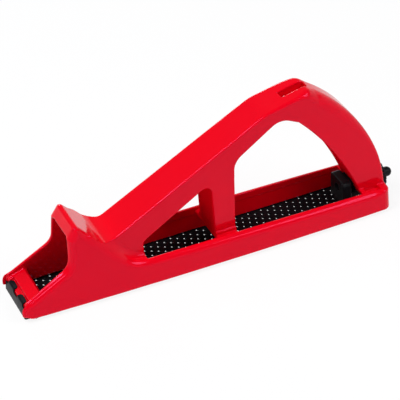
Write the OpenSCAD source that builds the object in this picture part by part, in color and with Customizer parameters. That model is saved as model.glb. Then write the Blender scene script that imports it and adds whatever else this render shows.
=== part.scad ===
// Drywall plane: a red moulded body with a loop handle and a nose horn, over a perforated
// rasp blade. The blade hooks round the nose and is pulled tight by a screw at the tail.
//
// Lengths are in millimetres. Inside the modules, x runs from the nose tip to the tail,
// y is measured from the centre plane, and z is measured from the blade's upper face.

/* [Blade] */
// Length of the blade from its front fold to its rear tab
blade_length = 250; // [230:1:280]
// Width of the blade over its side flanges
blade_width = 40; // [39:0.2:41]
// Thickness of the blade's sheet
sheet = 0.8; // [0.6:0.05:1]
// Height of the side flanges above the blade's upper face
flange_height = 1.6; // [1.2:0.1:6]
// Distance from the blade's rear end forward to the end of the side flanges
flange_setback = 6; // [4:0.5:10]
// Height of each tooth below the sheet
tooth_height = 1; // [0.5:0.1:1.5]
// Diameter of the hole in front of each tooth
hole_diameter = 2; // [1.2:0.1:2.2]
// Width of the raised lip round the back of each hole
tooth_lip = 0.6; // [0.3:0.1:0.8]
// Distance between two holes in the same track
hole_pitch = 9.75; // [9:0.25:14]
// Distance between two tracks across the blade
track_pitch = 2.303; // [2.1:0.1:2.6]
// How far each track is shifted along the blade from the one beside it
track_shift = 4.135; // [3.5:0.1:4.6]
// Distance from the front fold back to the first hole
first_hole_setback = 12.03; // [8:0.01:14]
// Distance from the blade's rear end forward to where the holes stop
last_hole_setback = 7; // [5:0.5:12]
// Number of tracks across the blade
track_count = 16; // [8:1:16]
// Width of the front fold
fold_width = 36.8; // [32:0.4:38.4]
// Height of the front fold between its two ears
fold_height = 6.8; // [5:0.1:7.5]
// Height of the two ears on the front fold
ear_height = 9.5; // [9:0.1:10]
// Width of one ear
ear_width = 9.8; // [6:0.1:10]
// Gap between the two ears
ear_gap = 7; // [4:0.5:10]
// Length of the lip that each ear hooks over the nose
ear_lip = 2.7; // [2:0.1:4.5]
// Lean of the front fold away from upright, in degrees
fold_lean = 8; // [4:1:18]
// Outer radius of the bend between the flat of the blade and the front fold
fold_radius = 1.2; // [1.2:0.1:2]
// Height of the rear tab above the blade's upper face
tab_height = 7; // [5:0.5:7.5]
// Width of the rear tab
tab_width = 15; // [10:0.5:16]

/* [Body] */
// Distance from the nose tip back to the blade's front fold
nose_setback = 1.2; // [1:0.1:4]
// Room behind the blade's rear tab, up to the tail wall
tail_room = 13.4; // [12:0.2:20]
// Thickness of the tail wall
tail_wall = 4; // [3:0.5:6]
// Width of the body at the nose tip
nose_width = 42.6; // [42:0.2:46]
// Width of the body at the tail
tail_width = 47.6; // [46:0.2:52]
// How far each side swells out halfway along
side_swell = 2.2; // [1.5:0.1:3]
// Inward lean of the sides, in degrees
side_lean = 5; // [4:0.5:7]
// Radius of the nose's corners seen from above
nose_corner = 3; // [1:0.5:4]
// Radius of the tail's corners seen from above
tail_corner = 6; // [1:0.5:7]
// Radius of the tail's upper edge
tail_edge_radius = 1.5; // [0.5:0.1:2]
// Height of the skirt's lower edge
skirt_height = 1; // [0.5:0.1:2]
// Height of the rails where they leave the nose
rail_height_front = 19; // [18.4:0.1:22]
// Height of the rails at the tail
rail_height_rear = 15.8; // [15.4:0.1:18]
// Half the gap between the rails at their top edge
rail_gap_half = 18.8; // [18:0.1:19.2]
// Radius of the rails' outer shoulder
shoulder_radius = 4.6; // [2:0.1:5]
// Height of the underside of the bridges between the rails
bridge_height = 12; // [11.5:0.1:13]
// How far the pillar's bridge lies below the rails' top edge
bridge_drop = 2.5; // [0.5:0.1:3]
// Length of each shallow pocket beside the foot of the arch
pocket_length = 10.5; // [6:0.5:13]
// Thickness of the wall in front of each of those pockets
pocket_wall = 2; // [0.8:0.1:3]
// Depth of those pockets
pocket_depth = 2.6; // [1:0.1:3]

/* [Nose] */
// Height of the side walls at the nose tip
tip_height = 10.4; // [10:0.1:14]
// Slope of the walls' rim up to the horn, in degrees
rim_slope = 28.8; // [25:0.2:32]
// Where the rim turns upright into the horn
rim_turn_x = 35.4; // [33:0.2:38]
// Where the upright rim ends
rim_top_x = 37; // [36.5:0.1:38.5]
// Height at which the upright rim ends
rim_top_height = 49.5; // [45:0.5:52]
// Where the crest of the horn is
crest_x = 43.2; // [42:0.1:46]
// Height of the horn's crest before it is rounded
crest_height = 58.8; // [56:0.2:64]
// Slope of the horn's back, in degrees
horn_back_slope = 48; // [45:0.5:52]
// Radius of the crest's edges
crest_radius = 2.5; // [1:0.5:3.5]
// Radius between the walls' rim and the upright rim of the horn
rim_turn_radius = 10; // [4:0.5:12]
// Radius of the nose tip's upper edge
tip_radius = 2; // [1:0.5:3]
// Radius of the nose tip's lower edge
skirt_corner = 4; // [1:0.5:5]
// Radius between the horn's back and the rails
sweep_radius = 23; // [12:0.5:26]
// Thickness of the horn's back
horn_wall = 4; // [3:0.2:6]
// Half the width of the nose's hollow at blade level
hollow_half = 17.5; // [16.8:0.1:19]
// Inward lean of the hollow's sides, in degrees
hollow_lean = 5; // [2:0.1:6]
// Thickness of the cross panel at the nose, from front to back
panel_depth = 13.7; // [11:0.1:14]
// Height of the panel's rear edge
panel_rear_height = 13.7; // [12.5:0.1:15]
// Length of the bevel behind the panel's rear edge
panel_edge = 2; // [1:0.2:3]
// Gap between the blade's upper face and the panel
panel_clearance = 2.6; // [2.3:0.1:3]

/* [Handle] */
// Where the straight lines of the horn's back and of the strut would meet
saddle_x = 63.9; // [60:0.2:66]
// Height of that meeting point
saddle_height = 35.6; // [34:0.1:37]
// Radius of the saddle between horn and strut
saddle_radius = 13; // [6:0.5:14]
// Distance from the tail forward to the handle's peak
peak_from_tail = 55.2; // [50:0.2:62]
// Height of the handle's peak before it is rounded
peak_height = 105.8; // [95:0.1:112]
// Length of the handle's flatter top, in front of the peak
top_length = 32.8; // [28:0.2:40]
// Slope of that flatter top, in degrees
top_slope = 13.2; // [8:0.2:18]
// Radius of the bend at the front of the flatter top
bend_radius = 30; // [10:1:40]
// Radius of the handle's peak
peak_radius = 7; // [4:0.5:16]
// Radius of the rear arch's outer curve
arch_radius = 115; // [105:1:160]
// Depth of the arch near the peak
arch_depth_top = 22.8; // [18:0.2:24]
// Distance from the tail wall's face forward to the heel of the arch
heel_inset = 0.6; // [0.2:0.1:2]
// Depth of the arch at its foot
arch_depth_foot = 18.4; // [17:0.2:20]
// Extra depth of the arch halfway down
arch_swell = 5.6; // [1:0.2:7]
// Depth of the strut at its front end
strut_depth_front = 20.6; // [15:0.1:22]
// Depth of the strut at the pillar
strut_depth_pillar = 17.8; // [14:0.1:20]
// Depth of the grip behind the pillar
grip_depth_pillar = 16.9; // [12:0.1:18]
// Depth of the grip under the flatter top
grip_depth_top = 9.5; // [5:0.1:11]
// Where the small window begins
small_window_x = 89.4; // [88.5:0.2:95]
// Distance from the peak forward to the highest point of the big window
window_peak_setback = 22; // [16:0.5:25]
// Radius of the big window's two upper corners
window_radius = 12; // [6:0.5:14]
// Radius of the small window's upper corners
small_window_radius = 4.5; // [2:0.5:6]
// Distance from the tail forward to the pillar's rear edge
pillar_from_tail = 112.8; // [110:0.2:120]
// Width of the pillar at its foot
pillar_width_foot = 15; // [12:0.5:18]
// Width of the pillar at its head
pillar_width_head = 18; // [14:0.5:20]
// Width of the handle at the saddle
handle_width_front = 28.6; // [28:0.2:32]
// Width of the handle at its peak
handle_width_peak = 25; // [24:0.2:28]
// Width of the handle at the tail
handle_width_tail = 27; // [26:0.2:30]
// Distance from the peak forward to the slot's rear end, negative behind the peak
slot_setback = -1.5; // [-3:0.5:4]
// Length of the slot in the handle's top
slot_length = 18.5; // [8:0.5:20]
// Width of that slot
slot_width = 6.6; // [4:0.1:8]
// Depth of that slot
slot_depth = 7; // [3:0.5:8]

/* [Tensioner] */
// Height of the screw's axis
screw_height = 13.5; // [13:0.1:14]
// Diameter of the screw
screw_diameter = 5; // [4:0.5:5]
// Length of the screw from the knob's face to its front end
screw_length = 27.5; // [26:0.5:29]
// Chamfer at the screw's front end
screw_chamfer = 0.8; // [0.4:0.1:1.2]
// Diameter of the knob's flange
knob_flange_diameter = 19; // [16:0.5:22]
// Thickness of the knob's flange
knob_flange = 2.5; // [2:0.1:3.5]
// Diameter of the knob's domed hub
knob_hub_diameter = 7; // [6.8:0.2:11]
// Length of the knob's hub
knob_hub_length = 8; // [7:0.2:12]
// Diameter of the grip notches round the flange
notch_diameter = 2.4; // [1.6:0.1:2.6]
// Number of grip notches round the flange
knob_notches = 16; // [8:2:24]
// Diameter of the thrust washer
washer_diameter = 12; // [9:0.2:14]
// Thickness of the thrust washer
washer_thickness = 1; // [0.6:0.1:1.5]
// Diameter of the retaining ring
ring_diameter = 9; // [7.5:0.1:10]
// Thickness of the retaining ring
ring_thickness = 1; // [0.6:0.1:1.2]
// Depth of the ring's groove in the screw
groove_depth = 0.5; // [0.3:0.05:0.7]
// Distance from the blade's rear end forward to the rear face of the block's tall part
block_head_setback = 6.2; // [5.5:0.1:9]
// Room between the block's rear end and the retaining ring
ring_room = 2.6; // [1:0.1:4]
// Length of the block's tall front part
block_head_length = 6.5; // [5:0.1:8]
// Radius of the upper corners of that part
block_corner = 3; // [1:0.5:4]
// Width of the block's tall front part
block_head_width = 19; // [17.4:0.2:24]
// Height of the block's tall front part
block_head_height = 21; // [19:0.1:22]
// Width of the block's low rear part
block_base_width = 17.4; // [17:0.2:18]
// Width of the ridge on the rear part, which slides in the tunnel under the arch
ridge_width = 11.4; // [10.8:0.2:12]
// Height of that ridge
ridge_height = 19.6; // [17.6:0.1:20]
// Width across the flats of the square nut
nut_width = 8; // [7:0.1:8]
// Thickness of the square nut
nut_thickness = 4; // [3:0.1:4.5]
// Thickness of the steel hook plate
hook_thickness = 1.2; // [0.8:0.1:1.4]
// Length of the hook plate
hook_length = 9.5; // [8:0.1:10]
// Distance from the hook plate's front end back to its two screws
hook_screw_setback = 4; // [3:0.1:5]
// Diameter of the two hook screws
hook_screw_diameter = 2.5; // [2:0.1:3]
// Length of the two hook screws
hook_screw_length = 7.5; // [5:0.1:8]
// Distance between the two hook screws
hook_screw_spacing = 9; // [7:0.1:9.5]
// Travel of the block towards the nose when the screw is slackened
block_travel = 3.2; // [2:0.1:3.6]

/* [Fits] */
// Gap between two parts that slide past each other
slide_gap = 0.3; // [0.2:0.05:0.5]
// Gap round the screw in the body and in the block
screw_gap = 0.2; // [0.1:0.05:0.4]
// Gap between parts that are pressed or threaded together
press_gap = 0.02; // [0.01:0.01:0.05]
// Gap between the blade's flanges and the skirt
blade_gap = 0.6; // [0.4:0.05:0.8]

/* [Hidden] */
$fn = 64;
// Degrees between two points of a rounded corner
arc_step = 7.5;
// Length by which a cutting shape runs past what it cuts
past = 5;
// Overlap of two shapes that are joined, so that no two faces only touch
seam = 0.05;
// A width and a height greater than the body's, for shapes that cut right across it
over_width = 80;
over_height = 140;

body_length = nose_setback + blade_length + tail_room + tail_wall;
tail_inner_x = body_length - tail_wall;
blade_rear_x = nose_setback + blade_length;
knob_x = body_length + 2 * press_gap + washer_thickness + slide_gap;
knob_end_x = knob_x + knob_flange + knob_hub_length;
lowest = -sheet - tooth_height;

function unit(v) = v / norm(v);

// Signed angle from a0 to a1 by the shorter way round
function turn(a0, a1) = a1 - a0 > 180 ? a1 - a0 - 360 : a1 - a0 < -180 ? a1 - a0 + 360 : a1 - a0;

// Arc of radius r that rounds the corner at q between p and s
function corner_arc(p, q, s, r) =
    let (a = unit(p - q), b = unit(s - q), half = acos(a * b) / 2)
    let (c = q + unit(a + b) * r / sin(half))
    let (from = q + a * r / tan(half) - c, to = q + b * r / tan(half) - c)
    let (a0 = atan2(from[1], from[0]), sweep = turn(a0, atan2(to[1], to[0])))
    let (steps = max(2, ceil(abs(sweep) / arc_step)))
    [for (i = [0:steps]) c + r * [cos(a0 + sweep * i / steps), sin(a0 + sweep * i / steps)]];

// Outline from points [x, z, radius], where a missing radius leaves the corner sharp
function rounded(points) =
    let (n = len(points), xy = [for (p = points) [p[0], p[1]]])
    [for (i = [0:n - 1])
        each len(points[i]) < 3 ? [xy[i]]
            : corner_arc(xy[(i + n - 1) % n], xy[i], xy[(i + 1) % n], points[i][2])];

// Extrudes a side view, drawn as [x, z], to equal depth on both sides of the centre plane
module side_plate(width) {
    translate([0, width / 2, 0])
        rotate([90, 0, 0])
            linear_extrude(width) children();
}

// Extrudes a cross-section, drawn as [y, z], from one x to another
module along_x(from, to) {
    translate([from, 0, 0])
        rotate([90, 0, 90])
            linear_extrude(to - from) children();
}

module place() {
    translate([-knob_end_x / 2, 0, -lowest]) children();
}

// Height of the rails' top edge at x
rail_start_x = crest_x + (crest_height - rail_height_front) / tan(horn_back_slope);
rail_slope = atan((rail_height_front - rail_height_rear) / (body_length - rail_start_x));
function rail_top(x) = rail_height_front - (x - rail_start_x) * tan(rail_slope);

// The handle's outline from the side
peak_x = body_length - peak_from_tail;
bend_x = peak_x - top_length;
bend_height = peak_height - top_length * tan(top_slope);
heel_x = body_length - heel_inset;
heel_height = rail_height_rear;
strut_slope = atan((bend_height - saddle_height) / (bend_x - saddle_x));
function strut_top(x) = saddle_height + (x - saddle_x) * tan(strut_slope);
function grip_top(x) = bend_height + (x - bend_x) * tan(top_slope);

// Centre of the arch's outer curve, which passes through the peak and the heel
arch_chord = [heel_x - peak_x, heel_height - peak_height];
arch_mid = [peak_x + heel_x, peak_height + heel_height] / 2;
arch_rise = sqrt(arch_radius * arch_radius - arch_chord * arch_chord / 4);
arch_centre = arch_mid + arch_rise * unit([arch_chord[1], -arch_chord[0]]);
peak_angle = atan2(peak_height - arch_centre[1], peak_x - arch_centre[0]);
heel_angle = atan2(heel_height - arch_centre[1], heel_x - arch_centre[0]);
arch_steps = 16;

function arch_point(angle, depth) = arch_centre + (arch_radius - depth) * [cos(angle), sin(angle)];

// Depth of the arch at a share t of the way from its foot to its head
function arch_depth(t) =
    arch_depth_foot + (arch_depth_top - arch_depth_foot) * t + 4 * arch_swell * t * (1 - t);

// Degrees from the peak to the head of the arch's inner curve, and from its foot on past the heel
head_turn = 2.4;
foot_turn = 2;
arch_head_angle = peak_angle - head_turn;
arch_foot_angle = heel_angle - foot_turn;
function arch_inner(t) =
    arch_point(arch_foot_angle + (arch_head_angle - arch_foot_angle) * t, arch_depth(t));

pillar_rear_x = body_length - pillar_from_tail;
pillar_front_x = pillar_rear_x - pillar_width_foot;
pillar_flare = (pillar_width_head - pillar_width_foot) / 2;
small_window_end = pillar_front_x - pillar_flare;
grip_corner_x = pillar_rear_x + pillar_flare;
grip_corner_height = strut_top(grip_corner_x) - grip_depth_pillar;
window_peak_x = peak_x - window_peak_setback;
window_peak_height = grip_top(window_peak_x) - grip_depth_top;
foot_front_x = arch_inner(0)[0];

// The handle's outline starts inside the horn
module handle_outline() {
    start_x = (crest_x + saddle_x) / 2;
    start_height = saddle_height + (saddle_x - start_x) * tan(horn_back_slope);
    arch_turn = heel_angle - peak_angle;
    polygon(rounded(concat(
        [[start_x, bridge_height], [start_x, start_height],
         [saddle_x, saddle_height, saddle_radius],
         [bend_x, bend_height, bend_radius], [peak_x, peak_height, peak_radius]],
        [for (i = [2:arch_steps]) arch_point(peak_angle + arch_turn * i / arch_steps, 0)],
        [[heel_x, bridge_height]])));
}

module small_window() {
    front_height = strut_top(small_window_x) - strut_depth_front;
    head_height = strut_top(small_window_end) - strut_depth_pillar;
    polygon(rounded([[small_window_x, -past], [small_window_x, front_height, small_window_radius],
                     [small_window_end, head_height, small_window_radius],
                     [pillar_front_x, rail_height_rear], [pillar_front_x, -past]]));
}

module big_window() {
    polygon(rounded(concat(
        [[foot_front_x, -past], [pillar_rear_x, -past], [pillar_rear_x, rail_height_rear],
         [grip_corner_x, grip_corner_height, window_radius],
         [window_peak_x, window_peak_height, window_radius]],
        [for (i = [0:arch_steps]) arch_inner(1 - i / arch_steps)])));
}

module top_slot() {
    end_x = peak_x - slot_setback;
    translate([end_x, 0, grip_top(end_x)])
        rotate([0, -top_slope, 0])
            translate([-slot_length, -slot_width / 2, -slot_depth])
                cube([slot_length, slot_width, slot_depth + past]);
}

// The handle seen from above, given as its half width at four places
module handle_plan() {
    half = [[0, handle_width_front / 2], [saddle_x, handle_width_front / 2],
            [peak_x, handle_width_peak / 2], [body_length, handle_width_tail / 2]];
    for (side = [0, 1])
        mirror([0, side])
            polygon(concat([[0, -seam]], half, [[body_length, -seam]]));
}

module handle() {
    intersection() {
        side_plate(over_width) difference() {
            handle_outline();
            small_window();
            big_window();
        }
        linear_extrude(over_height) handle_plan();
    }
}

// Half the body's width at x
function half_width(x) =
    let (t = x / body_length)
    (nose_width + (tail_width - nose_width) * t) / 2 + 4 * side_swell * t * (1 - t);

// Each long side is drawn as this number of straight lines
side_steps = 6;

module plan_outline() {
    side = [for (i = [1:side_steps - 1]) body_length * i / side_steps];
    nose = half_width(0);
    tail = half_width(body_length);
    polygon(rounded(concat(
        [[0, -nose, nose_corner]],
        [for (x = side) [x, -half_width(x)]],
        [[body_length, -tail, tail_corner], [body_length, tail, tail_corner]],
        [for (i = [1:side_steps - 1]) [side[side_steps - 1 - i], half_width(side[side_steps - 1 - i])]],
        [[0, nose, nose_corner]])));
}

// Corners of the body's side view, as [x, z, radius]
rim_height = tip_height + rim_turn_x * tan(rim_slope);
hull_corners = [
    [0, skirt_height, skirt_corner], [0, tip_height, tip_radius],
    [rim_turn_x, rim_height, rim_turn_radius], [rim_top_x, rim_top_height, crest_radius],
    [crest_x, crest_height, crest_radius], [rail_start_x, rail_height_front, sweep_radius],
    [body_length, rail_height_rear, tail_edge_radius], [body_length, skirt_height]];

module leaning_sides(lean) {
    rotate([lean, 0, 0])
        translate([0, 0, -past])
            linear_extrude(over_height) plan_outline();
}

// Where the sweep behind the horn has run out into the rails
sweep_end_x = rail_start_x + sweep_radius * tan((horn_back_slope - rail_slope) / 2);

// Keeps what lies under the rails' top, with both its outer edges rounded
module rail_roof() {
    widest_x = 0.6 * body_length;
    half = half_width(widest_x) - rail_top(widest_x) * tan(side_lean);
    foot = half + over_width * tan(side_lean);
    translate([sweep_end_x, 0, rail_top(sweep_end_x)])
        rotate([0, rail_slope, 0])
            along_x(-seam, body_length)
                polygon(rounded([
                    [-foot, -over_width], [foot, -over_width],
                    [half, 0, shoulder_radius], [-half, 0, shoulder_radius]]));
}

module body_shell() {
    intersection() {
        side_plate(over_width) polygon(rounded(hull_corners));
        leaning_sides(side_lean);
        leaning_sides(-side_lean);
        union() {
            translate([-past, -over_width, -past])
                cube([sweep_end_x + past, 2 * over_width, over_height]);
            rail_roof();
        }
    }
}

// Space for the blade between the skirts, from its underside up to its flanges' upper edges
module blade_space() {
    half = blade_width / 2 + blade_gap;
    along_x(panel_tail_x, tail_inner_x)
        translate([-half, -past]) square([2 * half, past + flange_height + slide_gap]);
}

// The channel above the blade, which narrows upwards
module channel(from, to, top) {
    seat = flange_height + slide_gap;
    seat_half = blade_width / 2 - sheet;
    top_half = seat_half + (rail_gap_half - seat_half) * (top - seat) / (rail_height_front - seat);
    along_x(from, to)
        polygon([[-seat_half, 0], [seat_half, 0], [seat_half, seat], [top_half, top],
                 [-top_half, top], [-seat_half, seat]]);
}

// Openings between the rails, in front of the pillar and between the pillar and the arch
module wells() {
    tall = rail_height_front + past;
    intersection() {
        channel(small_window_x, pillar_front_x, tall);
        side_plate(over_width) small_window();
    }
    intersection() {
        channel(pillar_rear_x, tail_inner_x, tall);
        side_plate(over_width) big_window();
    }
}

// Rear face of the nose panel, and where its sloping underside ends
panel_rear_x = nose_setback + panel_depth;
panel_tail_x = panel_rear_x + panel_edge;

// Height of the ledge on which the ears' lips lie
ledge_height = ear_height - sheet - slide_gap;

// Hollow of the nose and of the horn, open upwards and forwards at the mouth
module nose_hollow() {
    back_x = rail_start_x - horn_wall / sin(horn_back_slope);
    roof_x = back_x - (rim_top_height - rail_height_front) / tan(horn_back_slope);
    floor_x = back_x + (rail_height_front - bridge_height) / tan(horn_back_slope);
    side_plate(over_width) polygon(rounded([
        [panel_rear_x, 0], [panel_rear_x, rim_top_height],
        [roof_x, rim_top_height, horn_wall], [floor_x, bridge_height], [floor_x, 0]]));
    side_plate(over_width) polygon([
        [-past, ledge_height], [-past, rim_top_height],
        [panel_rear_x + seam, rim_top_height], [panel_rear_x + seam, ledge_height]]);
}

// The part of the nose that the mouth leaves open, between the leaning inner walls
module mouth() {
    intersection() {
        nose_hollow();
        along_x(-past, body_length / 2)
            polygon([for (p = [[-1, 0], [1, 0], [1, crest_height], [-1, crest_height]])
                [p[0] * (hollow_half - p[1] * tan(hollow_lean)), p[1]]]);
    }
}

// Front face of the blade's fold at a height above the blade's upper face
function fold_x(height) = nose_setback + (height + sheet) * tan(fold_lean);
// Thickness of the leaning fold, measured along the blade
fold_sheet = sheet / cos(fold_lean);

// Floor of the nose, which the blade's front fold bears against
module nose_panel() {
    front_x = fold_x(panel_clearance) + fold_sheet + slide_gap;
    ledge_x = fold_x(ear_height) + fold_sheet + slide_gap;
    pocket_x = ledge_x + ear_lip + 2 * slide_gap;
    pocket_half = ear_gap / 2 + ear_width + 2 * slide_gap;
    difference() {
        side_plate(2 * hollow_half + panel_edge) polygon([
            [front_x, panel_clearance], [ledge_x, ear_height], [panel_rear_x, panel_rear_height],
            [panel_tail_x, panel_rear_height - panel_edge], [panel_tail_x, panel_clearance]]);
        translate([-past, -pocket_half, ledge_height])
            cube([pocket_x + past, 2 * pocket_half, past]);
    }
}

// Tunnel for the block's ridge under the arch, and the bore for the screw
module tensioner_space() {
    width = ridge_width + 2 * slide_gap;
    height = ridge_height + slide_gap - bridge_height;
    translate([foot_front_x - past, -width / 2, bridge_height - past])
        cube([tail_inner_x - foot_front_x + past, width, height + past]);
    translate([tail_inner_x - past, 0, screw_height])
        rotate([0, 90, 0])
            cylinder(d = screw_diameter + 2 * screw_gap, h = tail_wall + 2 * past);
}

// Room under the nose panel for the front of the blade
module nose_clearance() {
    half = blade_width / 2 + blade_gap;
    translate([-past, -half, -past])
        cube([panel_tail_x + seam + past, 2 * half, past + panel_clearance]);
    front = fold_width / 2 + blade_gap;
    top = tip_height + past;
    side_plate(2 * front) polygon([
        [-past, 0], [-past, top], [fold_x(ear_height), top],
        [fold_x(ear_height) + fold_sheet + slide_gap, ear_height],
        [fold_x(0) + fold_sheet + slide_gap, 0]]);
}

// Lowers the bridge at the foot of the pillar, on both sides of it
module bridge_recess() {
    inner = handle_width_front / 2;
    for (side = [0, 1])
        mirror([0, side, 0])
            translate([pillar_front_x - seam, inner, rail_top(pillar_front_x) - bridge_drop])
                cube([pillar_width_foot + 2 * seam, rail_gap_half - inner, past]);
}

// Shallow pockets in the tail's top face, one on each side of the arch
module foot_pockets() {
    inner = handle_width_tail / 2;
    for (side = [0, 1])
        mirror([0, side, 0])
            translate([foot_front_x + pocket_wall, inner, rail_height_rear - pocket_depth])
                cube([pocket_length, rail_gap_half - inner, past]);
}

module body() {
    color([0.84, 0.03, 0.08]) place() {
        difference() {
            union() {
                difference() {
                    body_shell();
                    mouth();
                }
                nose_panel();
                handle();
            }
            blade_space();
            nose_clearance();
            channel(rail_start_x, tail_inner_x, bridge_height);
            wells();
            tensioner_space();
            top_slot();
            bridge_recess();
            foot_pockets();
        }
    }
}

// Places of the holes: each track is shifted against the one beside it
first_hole_x = nose_setback + first_hole_setback;
function track_y(k) = ((track_count - 1) / 2 - k) * track_pitch;
function track_start(k) = first_hole_x + (track_shift * k) % hole_pitch;
hole_places = [for (k = [0:track_count - 1])
    for (x = [track_start(k):hole_pitch:blade_rear_x - last_hole_setback]) [x, track_y(k)]];

// Points round each hole
hole_sides = 16;

module tooth_outline() {
    difference() {
        circle(d = hole_diameter + 2 * tooth_lip, $fn = hole_sides);
        circle(d = hole_diameter, $fn = hole_sides);
        translate([-2 * hole_diameter, -2 * hole_diameter])
            square([2 * hole_diameter, 4 * hole_diameter]);
    }
}

// How far the fold's foot reaches back, and how far the flat of the blade runs into it
fold_reach = 8;
fold_overlap = 2;

// Side view of the front fold, from the flat of the blade up to the height given
module fold_profile(height) {
    polygon(rounded([
        [nose_setback, -sheet, fold_radius], [nose_setback + fold_reach, -sheet],
        [nose_setback + fold_reach, 0], [fold_x(0) + fold_sheet, 0, fold_radius - sheet],
        [fold_x(height) + fold_sheet, height], [fold_x(height), height]]));
}

// One ear: its upright part and the lip that hooks over the nose panel
module ear() {
    lip_x = fold_x(ear_height - sheet) + fold_sheet;
    intersection() {
        union() {
            side_plate(2 * fold_width) fold_profile(ear_height);
            side_plate(2 * fold_width) polygon([
                [fold_x(ear_height - sheet), ear_height - sheet], [fold_x(ear_height), ear_height],
                [lip_x + ear_lip, ear_height], [lip_x + ear_lip, ear_height - sheet]]);
        }
        translate([0, ear_gap / 2, 0]) cube([over_width, ear_width, over_width]);
    }
}

module side_flange() {
    front_x = panel_tail_x + 2 * slide_gap;
    rear_x = blade_rear_x - flange_setback;
    translate([0, blade_width / 2, 0])
        rotate([90, 0, 0])
            linear_extrude(sheet)
                polygon([[front_x, -sheet], [front_x + flange_height, flange_height],
                         [rear_x - flange_height, flange_height], [rear_x, -sheet]]);
}

module rasp_blade() {
    color([0.05, 0.055, 0.06]) place() {
        translate([0, 0, -sheet])
            linear_extrude(sheet)
                difference() {
                    union() {
                        translate([nose_setback + fold_reach - fold_overlap, -blade_width / 2])
                            square([blade_length - fold_reach + fold_overlap - sheet, blade_width]);
                        translate([blade_rear_x - 2 * sheet, -tab_width / 2])
                            square([2 * sheet, tab_width]);
                    }
                    for (p = hole_places)
                        translate(p) circle(d = hole_diameter, $fn = hole_sides);
                }
        translate([0, 0, lowest])
            linear_extrude(tooth_height)
                for (p = hole_places) translate(p) tooth_outline();
        side_plate(fold_width) fold_profile(fold_height);
        ear();
        mirror([0, 1, 0]) ear();
        side_flange();
        mirror([0, 1, 0]) side_flange();
        translate([blade_rear_x - sheet, -tab_width / 2, -sheet])
            cube([sheet, tab_width, tab_height + sheet]);
    }
}

// Turns a profile, drawn as [radius, distance], about the screw's axis, from x towards the tail
module on_screw_axis(x) {
    translate([x, 0, screw_height]) rotate([0, 90, 0]) children();
}

module tension_knob() {
    dome = knob_hub_diameter / 2;
    bore_end = knob_flange + knob_hub_length - dome;
    color([0.05, 0.055, 0.06]) place() on_screw_axis(knob_x) {
        difference() {
            union() {
                cylinder(d = knob_flange_diameter, h = knob_flange);
                cylinder(d = knob_hub_diameter, h = bore_end);
                translate([0, 0, bore_end]) sphere(dome);
            }
            translate([0, 0, -past])
                cylinder(d = screw_diameter + 2 * press_gap, h = past + bore_end);
            for (i = [0:knob_notches - 1])
                rotate([0, 0, 360 * i / knob_notches])
                    translate([knob_flange_diameter / 2 + notch_diameter / 4, 0, -past])
                        cylinder(d = notch_diameter, h = knob_flange + 2 * past);
        }
    }
}

screw_rear_x = knob_x + knob_flange + knob_hub_length - knob_hub_diameter / 2 - press_gap;
screw_front_x = knob_x - screw_length;
groove_x = tail_inner_x - slide_gap - ring_thickness;

module tension_screw() {
    color([0.55, 0.56, 0.58]) place() difference() {
        on_screw_axis(screw_front_x)
            rotate_extrude()
                polygon([[0, 0], [screw_diameter / 2 - screw_chamfer, 0],
                         [screw_diameter / 2, screw_chamfer],
                         [screw_diameter / 2, screw_rear_x - screw_front_x],
                         [0, screw_rear_x - screw_front_x]]);
        on_screw_axis(groove_x - press_gap)
            difference() {
                cylinder(d = screw_diameter + past, h = ring_thickness + 2 * press_gap);
                translate([0, 0, -past])
                    cylinder(d = screw_diameter - 2 * groove_depth, h = ring_thickness + 3 * past);
            }
    }
}

module thrust_washer() {
    color([0.6, 0.61, 0.63]) place() on_screw_axis(body_length + press_gap)
        difference() {
            cylinder(d = washer_diameter, h = washer_thickness);
            translate([0, 0, -past])
                cylinder(d = screw_diameter + 2 * screw_gap, h = washer_thickness + 2 * past);
        }
}

// Open spring ring that sits in the screw's groove
module retaining_ring() {
    inner = screw_diameter - 2 * groove_depth + 2 * press_gap;
    mouth = 0.8 * inner;
    color([0.3, 0.3, 0.32]) place() on_screw_axis(groove_x)
        linear_extrude(ring_thickness)
            difference() {
                circle(d = ring_diameter);
                circle(d = inner);
                translate([0, -mouth / 2]) square([ring_diameter, mouth]);
            }
}

// Places of the block, the hook and the nut, in front of the tail wall
block_head_x = blade_rear_x - block_head_setback;
block_front_x = block_head_x - block_head_length;
block_rear_x = groove_x - ring_room;
tab_front_x = blade_rear_x - sheet;
lip_rear_x = tab_front_x - slide_gap;
plate_front_x = lip_rear_x - hook_length;
nut_x = blade_rear_x + slide_gap;
hook_screw_x = plate_front_x + hook_screw_setback;

module tension_block() {
    seat = hook_thickness + slide_gap;
    base_height = bridge_height - slide_gap;
    rear_length = block_rear_x - block_head_x + seam;
    color([0.06, 0.065, 0.07]) place() {
        difference() {
            union() {
                along_x(block_front_x, block_head_x)
                    polygon(rounded([
                        [-block_head_width / 2, seat], [block_head_width / 2, seat],
                        [block_head_width / 2, block_head_height, block_corner],
                        [-block_head_width / 2, block_head_height, block_corner]]));
                translate([block_head_x - seam, -block_base_width / 2, seat])
                    cube([rear_length, block_base_width, base_height - seat]);
                translate([block_head_x - seam, -ridge_width / 2, seat])
                    cube([rear_length, ridge_width, ridge_height - seat]);
            }
            on_screw_axis(block_front_x - past)
                cylinder(d = screw_diameter + 2 * screw_gap, h = block_rear_x - block_front_x + 2 * past);
            hook_slot();
            nut_pocket();
            for (side = [-1, 1])
                translate([hook_screw_x, side * hook_screw_spacing / 2, 0])
                    cylinder(d = hook_screw_diameter + 2 * press_gap,
                             h = slide_gap + hook_screw_length + press_gap);
        }
    }
}

// Slot across the block's underside for the blade's rear tab and the hook's lip
module hook_slot() {
    front_x = lip_rear_x - hook_thickness - press_gap;
    rear_x = blade_rear_x + block_travel + 2 * slide_gap;
    translate([front_x, -over_width / 2, 0])
        cube([rear_x - front_x, over_width, tab_height + 2 * slide_gap]);
}

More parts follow.
